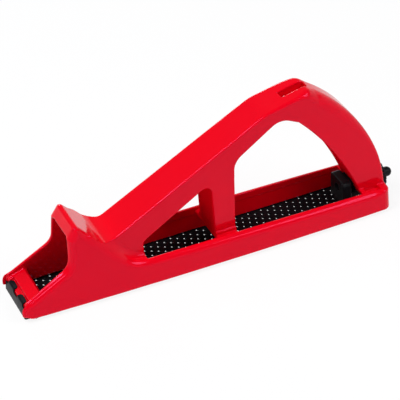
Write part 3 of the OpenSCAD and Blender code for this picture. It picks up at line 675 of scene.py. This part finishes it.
def body_field(x, y, z):
    y = np.abs(y)
    shell, handle = nose_field(x, y, z), handle_field(x, y, z)
    fillet = 1.0 + 6.0 * (1 - ramp(x, 70, 96))
    body = join(shell, handle, fillet)
    body = np.maximum(body, np.minimum(hull_at(x, z), handle_at(x, z)))
    inner = y - channel_half(z)
    inside_x = between(x, panel_tail_x, TAIL_INNER_X)
    well = np.maximum(np.minimum(small_window_at(x, z), big_window_at(x, z)), inner)
    body = cut(body, well, SMALL_EDGE)
    behind_nose = between(x, rail_start_x, TAIL_INNER_X)
    body = cut(body, np.maximum(np.maximum(inner, behind_nose), z - BRIDGE_HEIGHT), SMALL_EDGE)
    groove = np.maximum(groove_half - y, z - seat_height)
    low_space = np.maximum(y - BLADE_HALF - BLADE_GAP, np.minimum(z - SLIDE_GAP, groove))
    body = cut(body, np.maximum(low_space, inside_x), 0.3)
    front_low = np.maximum(np.maximum(x - panel_tail_x - 1, y - BLADE_HALF - BLADE_GAP), z - PANEL_CLEARANCE)
    body = cut(body, front_low, SMALL_EDGE)
    body = cut(body, np.maximum(front_at(x, z), y - FOLD_HALF - 0.3), SMALL_EDGE)
    tunnel = np.maximum(between(x, foot_front_x - 5, TAIL_INNER_X), y - RIDGE_HALF - SLIDE_GAP)
    body = cut(body, np.maximum(tunnel, z - RIDGE_HEIGHT - SLIDE_GAP), SMALL_EDGE)
    bore = np.hypot(y, z - SCREW_HEIGHT) - SCREW_RADIUS - 0.2
    body = cut(body, np.maximum(bore, TAIL_INNER_X - 5 - x), 0.4)
    body = cut(body, slot_field(x, y, z), 0.5)
    recess = np.maximum(between(x, PILLAR_FRONT - 0.05, PILLAR_REAR + 0.05), between(y, 14.3, RAIL_GAP_HALF))
    body = cut(body, np.maximum(recess, rail_top(PILLAR_FRONT) - 2.5 - z), 0.5)
    pocket = np.maximum(between(x, foot_front_x + 2, foot_front_x + 12.5), between(y, 13.5, RAIL_GAP_HALF))
    return cut(body, np.maximum(pocket, RAIL_REAR - 2.6 - z), 0.5)


BODY_CELL = 0.75
body_shell = moulded("body_shell", body_field, (0, -25.5, 0), (BODY_LENGTH, 25.5, 106), BODY_CELL)
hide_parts("body")
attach(body_shell, "frame")

# %% [markdown]
# The plastic is glossy and strongly coloured. The colour varies a little where the melt
# flowed, the gloss varies with handling, and a faint ripple bends the highlights.

# %% Body plastic
BODY_RED = (0.78, 0.0005, 0.008, 1.0)
BODY_RED_DEEP = (0.72, 0.0005, 0.010, 1.0)


def plastic_material(name, colour, deep, gloss, ripple, specular, tint=(1, 1, 1, 1)):
    material, tree = new_material(name)
    link = tree.links.new
    place = add_node(tree, "ShaderNodeTexCoord")
    flow = add_node(tree, "ShaderNodeTexNoise", {"Scale": 28.0, "Detail": 3.0, "Roughness": 0.55})
    blend = add_node(tree, "ShaderNodeMixRGB", {1: colour, 2: deep})
    fine = add_node(tree, "ShaderNodeTexNoise", {"Scale": 420.0, "Detail": 2.0})
    wipe = add_node(tree, "ShaderNodeTexNoise", {"Scale": 60.0, "Detail": 4.0})
    rough = add_node(tree, "ShaderNodeMapRange",
                     {"From Min": 0.3, "From Max": 0.7, "To Min": gloss[0], "To Max": gloss[1]})
    bump = add_node(tree, "ShaderNodeBump", {"Strength": ripple, "Distance": 0.0002})
    shader = add_node(tree, "ShaderNodeBsdfPrincipled",
                      {"Specular IOR Level": specular, "Specular Tint": tint, "IOR": 1.5})
    output = add_node(tree, "ShaderNodeOutputMaterial")
    for noise in (flow, fine, wipe):
        link(place.outputs["Object"], noise.inputs["Vector"])
    link(flow.outputs["Fac"], blend.inputs[0])
    link(blend.outputs[0], shader.inputs["Base Color"])
    link(wipe.outputs["Fac"], rough.inputs["Value"])
    link(rough.outputs[0], shader.inputs["Roughness"])
    link(fine.outputs["Fac"], bump.inputs["Height"])
    link(bump.outputs[0], shader.inputs["Normal"])
    link(shader.outputs[0], output.inputs[0])
    return material


def paint_window_shade(material, rear_of, level):
    """Painted shade: takes the shine off the faces that look forwards behind a place, down in the windows, so that
    they stay dark where they would mirror the white floor.
    """
    tree = material.node_tree
    link = tree.links.new
    place = add_node(tree, "ShaderNodeTexCoord")
    normal = add_node(tree, "ShaderNodeSeparateXYZ")
    spot = add_node(tree, "ShaderNodeSeparateXYZ")
    facing = add_node(tree, "ShaderNodeMapRange",
                      {"From Min": -0.50, "From Max": -0.70, "To Min": 0.0, "To Max": 1.0})
    behind = add_node(tree, "ShaderNodeMath", {1: rear_of}, operation="GREATER_THAN")
    both = add_node(tree, "ShaderNodeMath", operation="MULTIPLY")
    shine = add_node(tree, "ShaderNodeMapRange", {"To Min": level, "To Max": 0.0})
    shader = next(node for node in tree.nodes if node.type == "BSDF_PRINCIPLED")
    link(place.outputs["Normal"], normal.inputs[0])
    link(place.outputs["Object"], spot.inputs[0])
    link(normal.outputs["X"], facing.inputs["Value"])
    link(spot.outputs["X"], behind.inputs[0])
    link(facing.outputs[0], both.inputs[0])
    link(behind.outputs[0], both.inputs[1])
    link(both.outputs[0], shine.inputs["Value"])
    link(shine.outputs[0], shader.inputs["Specular IOR Level"])


def dress(piece, material):
    piece.data.materials.clear()
    piece.data.materials.append(material)


BODY_SHEEN = (1.0, 0.30, 0.75, 1.0)
BODY_SHINE = 0.25
body_plastic = plastic_material(
    "body_plastic", BODY_RED, BODY_RED_DEEP, (0.08, 0.16), 0.05, BODY_SHINE, BODY_SHEEN)
# Painted shade: the forward-looking faces in the windows lose their reflection.
paint_window_shade(body_plastic, -0.02, BODY_SHINE)
dress(body_shell, body_plastic)

# %% [markdown]
# The real blade is a flat blank that is punched and then folded, and it is made the same
# way here. The blank is drawn flat with its holes and cut into triangles. Each point is
# then carried through the folds, and the sheet gets its thickness along the fold's normal.

# %% The path of the fold along the blade
BLADE_REAR_X = NOSE_SETBACK + 250.0
FOLD_RADIUS = 0.9
LIP_RADIUS = 0.6
TAB_RADIUS = 0.5
TAB_HEIGHT, TAB_HALF = 7.0, 7.5
TRACK_COUNT, TRACK_PITCH, TRACK_SHIFT = 16, 2.303, 4.135
HOLE_PITCH, HOLE_RADIUS = 9.75, 1.0
FIRST_HOLE_X = NOSE_SETBACK + 12.03
LAST_HOLE_X = BLADE_REAR_X - 7.0


def walk(start, heading, pieces):
    """Follows straight and bent pieces (length, radius or None, turn) and returns a function
    that gives the place and the normal at a distance along them."""
    starts, x, z, angle, travelled = [], start[0], start[1], heading, 0.0
    for length, radius, side in pieces:
        starts.append((travelled, x, z, angle, length, radius, side))
        if radius:
            turned_by = side * length / radius
            centre_x, centre_z = x - side * radius * math.sin(angle), z + side * radius * math.cos(angle)
            angle += turned_by
            x, z = centre_x + side * radius * math.sin(angle), centre_z - side * radius * math.cos(angle)
        else:
            x, z = x + length * math.cos(angle), z + length * math.sin(angle)
        travelled += length

    def at(distance):
        for from_here, px, pz, a, length, radius, side in reversed(starts):
            if distance >= from_here - 1e-9:
                gone = distance - from_here
                if radius:
                    cx, cz = px - side * radius * math.sin(a), pz + side * radius * math.cos(a)
                    a += side * gone / radius
                    return cx + side * radius * math.sin(a), cz - side * radius * math.cos(a), a
                return px + gone * math.cos(a), pz + gone * math.sin(a), a
        return px, pz, a

    return at, travelled


fold_turn = math.pi / 2 + FOLD_LEAN
lip_turn = math.pi / 2 - FOLD_LEAN
fold_centre_x = fold_x(0) + fold_depth + FOLD_RADIUS * (math.sin(fold_turn) + (1 - math.cos(fold_turn)) * math.tan(FOLD_LEAN))
fold_rise = FOLD_RADIUS * (1 - math.cos(fold_turn))
upright = (EAR_HEIGHT - SHEET - LIP_RADIUS * (1 - math.cos(lip_turn)) - fold_rise) / math.cos(FOLD_LEAN)
front_at_path, front_length = walk((fold_centre_x, 0.0), math.pi, [
    (FOLD_RADIUS * fold_turn, FOLD_RADIUS, -1), (upright, None, 0),
    (LIP_RADIUS * lip_turn, LIP_RADIUS, -1), (EAR_LIP - 0.4, None, 0)])
tab_centre_x = BLADE_REAR_X - SHEET - TAB_RADIUS
rear_at_path, rear_length = walk((tab_centre_x, 0.0), 0.0, [
    (TAB_RADIUS * math.pi / 2, TAB_RADIUS, 1), (TAB_HEIGHT - TAB_RADIUS, None, 0)])
flange_path, flange_length = walk((BLADE_HALF - SHEET - 0.5, 0.0), 0.0, [
    (0.5 * math.pi / 2, 0.5, 1), (FLANGE_HEIGHT - 0.5, None, 0)])
print("front fold is", round(front_length, 2), "mm long when flat")

# %% The flat blank
fold_height_length = FOLD_RADIUS * fold_turn + (FOLD_HEIGHT - fold_rise) / math.cos(FOLD_LEAN)
flat_front, flat_rear = fold_centre_x, tab_centre_x
flange_foot = BLADE_HALF - SHEET - 0.5
flange_front_x, flange_rear_x = panel_tail_x + 2 * SLIDE_GAP, BLADE_REAR_X - 6.0


def blank_half():
    """Corners of the blank's half with t above 0, from the ear round to the rear tab."""
    ear_s, fold_s = flat_front - front_length, flat_front - fold_height_length
    inner_t, outer_t = EAR_GAP / 2, EAR_GAP / 2 + EAR_WIDTH
    edge_t = flange_foot + flange_length
    return [
        (fold_s, inner_t, 1.0), (ear_s, inner_t, 2.6), (ear_s, outer_t, 2.6), (fold_s, outer_t, 1.0),
        (fold_s, FOLD_HALF, 1.5), (flat_front + 5, FOLD_HALF), (flat_front + 5.5, BLADE_HALF),
        (flange_front_x, BLADE_HALF, 1.0), (flange_front_x + FLANGE_HEIGHT, edge_t, 1.5),
        (flange_rear_x - FLANGE_HEIGHT, edge_t, 1.5), (flange_rear_x, BLADE_HALF, 1.0),
        (flat_rear + TAB_RADIUS, BLADE_HALF, 1.0), (flat_rear + TAB_RADIUS, TAB_HALF),
        (flat_rear + rear_length, TAB_HALF, 1.2)]


half_corners = blank_half()
mirrored = [(c[0], -c[1], *c[2:]) for c in reversed(half_corners)]
blank_outline = rounded(half_corners + mirrored)
holes = []
for track in range(TRACK_COUNT):
    x = FIRST_HOLE_X + (TRACK_SHIFT * track) % HOLE_PITCH
    while x <= LAST_HOLE_X:
        holes.append((x, ((TRACK_COUNT - 1) / 2 - track) * TRACK_PITCH))
        x += HOLE_PITCH
holes = np.array(holes)
print(len(holes), "holes in the blank")

# %% [markdown]
# Round each hole the blank has three rings of points. The innermost ring is the hole's
# edge. On its rear half the sheet is pushed down into a tooth, as the punch leaves it.

# %% Triangles of the blank
RING_SIDES = 16
RING_RADII = (HOLE_RADIUS, 1.32, 1.66)
FRONT_TEETH, FRONT_TOOTH_PITCH, FRONT_TOOTH_RADIUS = 8, 4.6, 0.95
front_tooth_s = flat_front - FOLD_RADIUS * fold_turn * 0.42
front_teeth = np.array([(front_tooth_s, (k - (FRONT_TEETH - 1) / 2) * FRONT_TOOTH_PITCH)
                        for k in range(FRONT_TEETH)])


def ring(centre, radius, sides=RING_SIDES):
    angles = np.arange(sides) * 2 * math.pi / sides
    return centre + radius * np.stack((np.cos(angles), np.sin(angles)), axis=1)


def blank_points():
    """Points and fixed edges: outline, hole edges, rings, and rows of points in the folds."""
    points, edges = [], []

    def loop(places):
        first = len(points)
        points.extend(map(tuple, places))
        edges.extend((first + i, first + (i + 1) % len(places)) for i in range(len(places)))

    loop(blank_outline)
    for hole in holes:
        loop(ring(hole, RING_RADII[0]))
        for radius in RING_RADII[1:]:
            points.extend(map(tuple, ring(hole, radius)))
    for tooth in front_teeth:
        loop(ring(tooth, FRONT_TOOTH_RADIUS))
    fold_s = [flat_front - FOLD_RADIUS * fold_turn * k / 8 for k in range(9)]
    lip_s = [flat_front - FOLD_RADIUS * fold_turn - upright - LIP_RADIUS * lip_turn * k / 6 for k in range(7)]
    tab_s = [flat_rear + TAB_RADIUS * math.pi / 2 * k / 6 for k in range(7)]
    rows = [(s, FOLD_HALF) for s in fold_s + lip_s] + [(s, TAB_HALF) for s in tab_s]
    for s, half in rows:
        for t in np.arange(-half + 0.6, half - 0.5, 0.9):
            points.append((s, t))
    for t in (flange_foot + 0.5 * math.pi / 2 * k / 5 for k in range(6)):
        for s in np.arange(flange_front_x, flange_rear_x + 1, 1.8):
            points.extend([(s, t), (s, -t)])
    return np.array(points), edges


def near_any(places, centres, radius):
    found = np.zeros(len(places), bool)
    for first in range(0, len(places), 8192):
        part = places[first:first + 8192, None] - centres[None]
        found[first:first + 8192] = ((part ** 2).sum(2) < radius ** 2).any(1)
    return found


def blank_triangles():
    points, edges = blank_points()
    outline_count = len(blank_outline)
    away = outline_distance(blank_outline, points[:, 0], points[:, 1])
    keep = away < -0.3
    keep[:outline_count] = True
    for centres, radius in ((front_teeth, FRONT_TOOTH_RADIUS),):
        close = near_any(points, centres, radius + 0.25) & ~near_any(points, centres, radius - 0.01)
        on_edge = np.abs(np.linalg.norm(points[:, None] - centres[None], axis=2) - radius).min(1) < 1e-6
        keep &= ~((close | near_any(points, centres, radius - 0.01)) & ~on_edge)
    number = np.cumsum(keep) - 1
    points = points[keep]
    edges = [(int(number[a]), int(number[b])) for a, b in edges]
    result = geometry.delaunay_2d_cdt([Vector(p) for p in points], edges, [], 0, 1e-5)
    flat = np.array([tuple(p) for p in result[0]])
    faces = np.array([tuple(f) for f in result[2]])
    middle = flat[faces].mean(axis=1)
    good = outline_distance(blank_outline, middle[:, 0], middle[:, 1]) < 0
    good &= ~near_any(middle, holes, HOLE_RADIUS * 0.98)
    good &= ~near_any(middle, front_teeth, FRONT_TOOTH_RADIUS * 0.98)
    return flat, faces[good]


blank, triangles = blank_triangles()
print("blank:", len(blank), "points,", len(triangles), "triangles")

# %% Folding the blank
def tooth_drop(places):
    """How far the punch has pushed the sheet down at each point."""
    drop = np.zeros(len(places))
    for hole in holes:
        offset = places - hole
        distance = np.hypot(offset[:, 0], offset[:, 1])
        near = np.flatnonzero(distance < RING_RADII[2] + 0.01)
        rise = np.clip((RING_RADII[2] - distance[near]) / (RING_RADII[2] - RING_RADII[0]), 0, 1)
        behind = np.clip(offset[near, 0] / np.maximum(distance[near], 1e-6), 0, 1)
        drop[near] = np.maximum(drop[near], TOOTH_HEIGHT * rise ** 1.3 * behind ** 0.8)
    return drop


def folded(places):
    """Carries flat points (s, t) through the folds and returns places and normals."""
    solid = np.zeros((len(places), 3))
    normal = np.tile((0.0, 0.0, 1.0), (len(places), 1))
    for i, (s, t) in enumerate(places):
        solid[i] = (s, t, 0.0)
        if s < flat_front:
            x, z, a = front_at_path(flat_front - s)
            solid[i], normal[i] = (x, t, z), (math.sin(a), 0, -math.cos(a))
        elif s > flat_rear:
            x, z, a = rear_at_path(s - flat_rear)
            solid[i], normal[i] = (x, t, z), (-math.sin(a), 0, math.cos(a))
        elif abs(t) > flange_foot and flange_front_x - 1 < s < flange_rear_x + 1:
            y, z, a = flange_path(abs(t) - flange_foot)
            side = math.copysign(1, t)
            solid[i], normal[i] = (s, side * y, z), (0, -side * math.sin(a), math.cos(a))
    return solid, normal


def sheet_mesh(name, places, faces, normals, drop):
    """Closes a sheet: upper side, lower side, and a wall along every open edge."""
    upper = places - np.stack((0 * drop, 0 * drop, drop), axis=1)
    lower = upper - SHEET * normals
    count = len(places)
    sides = np.concatenate([faces[:, (0, 1)], faces[:, (1, 2)], faces[:, (2, 0)]])
    known = {tuple(e) for e in sides.tolist()}
    walls = [(a, b, b + count, a + count) for a, b in known if (b, a) not in known]
    walls = [(w[1], w[0], w[3], w[2]) for w in walls]
    all_faces = faces.tolist() + (faces[:, ::-1] + count).tolist() + walls
    piece = new_object(name, to_frame(np.concatenate((upper, lower))), all_faces)
    piece.data.set_sharp_from_angle(angle=math.radians(40))
    return piece


ordered = triangles.copy()
a, b, c = (blank[ordered[:, k]] for k in range(3))
turning = (b - a)[:, 0] * (c - a)[:, 1] - (b - a)[:, 1] * (c - a)[:, 0]
ordered[turning < 0] = ordered[turning < 0][:, ::-1]
blade_points, blade_normals = folded(blank)
blade_sheet = sheet_mesh("blade_sheet", blade_points, ordered, blade_normals, tooth_drop(blank))
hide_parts("rasp_blade")
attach(blade_sheet, "blade")
print("blade:", len(blade_sheet.data.polygons), "faces")

# %% Blade lacquer
BLADE_BLACK = (0.004, 0.004, 0.005, 1.0)
BLADE_BLACK_PALE = (0.009, 0.009, 0.011, 1.0)
blade_lacquer = plastic_material("blade_lacquer", BLADE_BLACK, BLADE_BLACK_PALE, (0.25, 0.40), 0.15, 0.05)
dress(blade_sheet, blade_lacquer)

# %% [markdown]
# The knob and the screw are turned about one axis. A turned piece is a grid of points: rings
# along the axis, each with its own radius. A function changes the radius round a ring, which
# makes the knob's grip notches and the screw's thread.

# %% Turned pieces
AROUND = 96


def turned(name, stations, change=None, around=AROUND, axis_z=SCREW_HEIGHT, sharp=35):
    """stations are (x, radius); change(x, radius, angle) returns the radius to use."""
    points, faces = [], []
    for x, radius in stations:
        for k in range(around):
            angle = 2 * math.pi * k / around
            r = change(x, radius, angle) if change else radius
            points.append((x, r * math.cos(angle), axis_z + r * math.sin(angle)))
    for i in range(len(stations) - 1):
        for k in range(around):
            here, right = i * around + k, i * around + (k + 1) % around
            faces.append((here, right, right + around, here + around))
    first = list(range(around))
    last = [(len(stations) - 1) * around + k for k in range(around)]
    faces += [first[::-1], last]
    piece = new_object(name, to_frame(points), faces)
    piece.data.set_sharp_from_angle(angle=math.radians(sharp))
    return piece


# %% Knob
KNOB_X = BODY_LENGTH + 0.04 + 1.0 + SLIDE_GAP
KNOB_FLANGE, KNOB_FLANGE_RADIUS = 2.5, 9.5
KNOB_HUB_RADIUS, KNOB_HUB_LENGTH = 3.5, 8.0
KNOB_NOTCHES, NOTCH_DEPTH = 16, 0.6
knob_end_x = KNOB_X + KNOB_FLANGE + KNOB_HUB_LENGTH


def knob_stations():
    stations = [(KNOB_X, 3.0), (KNOB_X, KNOB_FLANGE_RADIUS - 0.6), (KNOB_X + 0.18, KNOB_FLANGE_RADIUS - 0.18),
                (KNOB_X + 0.6, KNOB_FLANGE_RADIUS), (KNOB_X + KNOB_FLANGE - 0.6, KNOB_FLANGE_RADIUS),
                (KNOB_X + KNOB_FLANGE - 0.18, KNOB_FLANGE_RADIUS - 0.18),
                (KNOB_X + KNOB_FLANGE, KNOB_FLANGE_RADIUS - 0.6)]
    fillet = 1.2
    for k in range(7):
        angle = math.pi / 2 * k / 6
        stations.append((KNOB_X + KNOB_FLANGE + fillet * (1 - math.cos(angle)),
                         KNOB_HUB_RADIUS + fillet * (1 - math.sin(angle))))
    dome_x = knob_end_x - KNOB_HUB_RADIUS
    for k in range(13):
        angle = math.pi / 2 * k / 12
        stations.append((dome_x + KNOB_HUB_RADIUS * math.sin(angle),
                         max(0.05, KNOB_HUB_RADIUS * math.cos(angle))))
    return stations


def notched(x, radius, angle):
    """Sixteen shallow scallops round the flange, which the hub doesn't have."""
    rim = ramp(radius, KNOB_FLANGE_RADIUS - 1.6, KNOB_FLANGE_RADIUS - 0.6)
    wave = max(0.0, math.cos(angle * KNOB_NOTCHES)) ** 2
    return radius - NOTCH_DEPTH * wave * float(rim)


knob = turned("knob", knob_stations(), notched, around=192)
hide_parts("tension_knob")
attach(knob, "screw")

# %% Screw with its thread
SCREW_FRONT_X = KNOB_X - 27.5
SCREW_REAR_X = knob_end_x - KNOB_HUB_RADIUS
THREAD_PITCH, THREAD_DEPTH = 0.8, 0.42
GROOVE_X = TAIL_INNER_X - SLIDE_GAP - 1.0


def screw_stations():
    step = THREAD_PITCH / 8
    count = int((SCREW_REAR_X - SCREW_FRONT_X) / step)
    stations = [(SCREW_FRONT_X, SCREW_RADIUS - 0.8)]
    for k in range(1, count + 1):
        x = SCREW_FRONT_X + k * step
        radius = min(SCREW_RADIUS, SCREW_RADIUS - 0.8 + (x - SCREW_FRONT_X))
        if GROOVE_X < x < GROOVE_X + 1.0:
            radius = SCREW_RADIUS - 0.5
        stations.append((x, radius))
    return stations


def threaded(x, radius, angle):
    turn_share = (x / THREAD_PITCH - angle / (2 * math.pi)) % 1
    valley = THREAD_DEPTH * abs(2 * turn_share - 1)
    fades = 1 - float(ramp(x, GROOVE_X - 1.0, GROOVE_X - 0.2))
    return min(radius, SCREW_RADIUS - valley * fades)


screw = turned("screw", screw_stations(), threaded, around=32, sharp=50)
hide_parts("tension_screw")
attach(screw, "screw")

# %% [markdown]
# The block slides under the arch. It is a moulding like the body, so it comes from a field
# too: a tall head, a low base, and a ridge on top that runs in the body's tunnel.

# %% Block
BLOCK_HEAD_X = BLADE_REAR_X - 6.2
BLOCK_FRONT_X = BLOCK_HEAD_X - 6.5
BLOCK_REAR_X = GROOVE_X - 2.6
HOOK_THICKNESS = 1.2
block_seat = HOOK_THICKNESS + SLIDE_GAP
lip_rear_x = BLADE_REAR_X - SHEET - SLIDE_GAP
head_at = side_view(rounded([(-9.5, block_seat, 0.5), (9.5, block_seat, 0.5), (9.5, 21.0, 3.0), (-9.5, 21.0, 3.0)]),
                    low=(-12, -2), high=(12, 26))
NUT_X = BLADE_REAR_X + SLIDE_GAP
NUT_HALF, NUT_THICKNESS = 4.0, 4.0
HOOK_SCREW_X = lip_rear_x - 9.5 + 4.0
HOOK_SCREW_Y = 4.5


def block_field(x, y, z):
    side = np.abs(y)
    head = meet(between(x, BLOCK_FRONT_X, BLOCK_HEAD_X), head_at(y, z), 0.6)
    long = between(x, BLOCK_HEAD_X - 1, BLOCK_REAR_X)
    base = meet(meet(long, side - 8.7, 0.4), between(z, block_seat, BRIDGE_HEIGHT - SLIDE_GAP), 0.4)
    ridge = meet(meet(long, side - RIDGE_HALF, 0.4), between(z, block_seat, RIDGE_HEIGHT), 0.4)
    block = join(join(head, base, 0.5), ridge, 0.5)
    bore = np.hypot(y, z - SCREW_HEIGHT) - SCREW_RADIUS - 0.2
    block = cut(block, bore, 0.3)
    front_x, rear_x = lip_rear_x - HOOK_THICKNESS - 0.02, BLADE_REAR_X + 3.2 + 2 * SLIDE_GAP
    block = cut(block, np.maximum(between(x, front_x, rear_x), z - TAB_HEIGHT - 2 * SLIDE_GAP), 0.3)
    nut = np.maximum(between(x, NUT_X - 0.02, NUT_X + NUT_THICKNESS + 0.02), side - NUT_HALF - 0.02)
    return cut(block, np.maximum(nut, SCREW_HEIGHT - NUT_HALF - 0.02 - z), 0.3)


block = moulded("block", block_field, (BLOCK_FRONT_X, -9.5, block_seat), (BLOCK_REAR_X, 9.5, 21), 0.4)
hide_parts("tension_block")
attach(block, "slider")

# %% Hook screws with a cross recess
def hook_screw_field(x, y, z):
    side = np.abs(y) - HOOK_SCREW_Y
    away, height = np.hypot(x - HOOK_SCREW_X, side), z - SLIDE_GAP
    radius = np.interp(height, (0, HOOK_THICKNESS, HOOK_THICKNESS + 0.01), (2.4, 1.25, 1.25))
    shape = meet((away - radius) * 0.8, between(height, 0.02, 7.4), 0.15)
    across = np.minimum(np.abs(x - HOOK_SCREW_X) - 0.28, np.abs(side) - 0.28)
    return cut(shape, np.maximum(np.maximum(across, away - 1.4), height - 0.7), 0.05)


hook_screw_pair = moulded("hook_screw_pair", hook_screw_field,
                          (HOOK_SCREW_X - 2.6, -7.2, 0.2), (HOOK_SCREW_X + 2.6, 7.2, 7.8), 0.16, 30_000)
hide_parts("hook_screws")
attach(hook_screw_pair, "slider")

# %% [markdown]
# The black plastic is satin, and the small steel parts are zinc plated or left dark. The
# steel has fine turning marks, which run round the screw's axis.

# %% Hardware materials
black_plastic = plastic_material("black_plastic", (0.006, 0.006, 0.008, 1), (0.010, 0.010, 0.012, 1),
                                 (0.30, 0.42), 0.2, 0.10)


def steel_material(name, colour, rough_low, rough_high):
    material, tree = new_material(name)
    link = tree.links.new
    place = add_node(tree, "ShaderNodeTexCoord")
    stretch = add_node(tree, "ShaderNodeMapping", {"Scale": (3000.0, 260.0, 260.0)})
    marks = add_node(tree, "ShaderNodeTexNoise", {"Scale": 1.0, "Detail": 3.0})
    cloud = add_node(tree, "ShaderNodeTexNoise", {"Scale": 180.0, "Detail": 2.0})
    blend = add_node(tree, "ShaderNodeMixRGB", {1: colour, 2: tuple(0.8 * v for v in colour[:3]) + (1,)})
    rough = add_node(tree, "ShaderNodeMapRange", {"To Min": rough_low, "To Max": rough_high})
    bump = add_node(tree, "ShaderNodeBump", {"Strength": 0.15, "Distance": 0.0001})
    shader = add_node(tree, "ShaderNodeBsdfPrincipled", {"Metallic": 1.0})
    output = add_node(tree, "ShaderNodeOutputMaterial")
    link(place.outputs["Object"], stretch.inputs["Vector"])
    link(stretch.outputs[0], marks.inputs["Vector"])
    link(place.outputs["Object"], cloud.inputs["Vector"])
    link(cloud.outputs["Fac"], blend.inputs[0])
    link(blend.outputs[0], shader.inputs["Base Color"])
    link(marks.outputs["Fac"], rough.inputs["Value"])
    link(rough.outputs[0], shader.inputs["Roughness"])
    link(marks.outputs["Fac"], bump.inputs["Height"])
    link(bump.outputs[0], shader.inputs["Normal"])
    link(shader.outputs[0], output.inputs[0])
    return material


bright_steel = steel_material("bright_steel", (0.62, 0.63, 0.65, 1), 0.18, 0.42)
dark_steel = steel_material("dark_steel", (0.16, 0.16, 0.17, 1), 0.25, 0.5)
for piece in (knob, block):
    dress(piece, black_plastic)
for piece in (screw, hook_screw_pair):
    dress(piece, bright_steel)
for node in ("thrust_washer", "square_nut", "hook_plate"):
    dress(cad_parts[node], bright_steel)
dress(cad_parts["retaining_ring"], dark_steel)
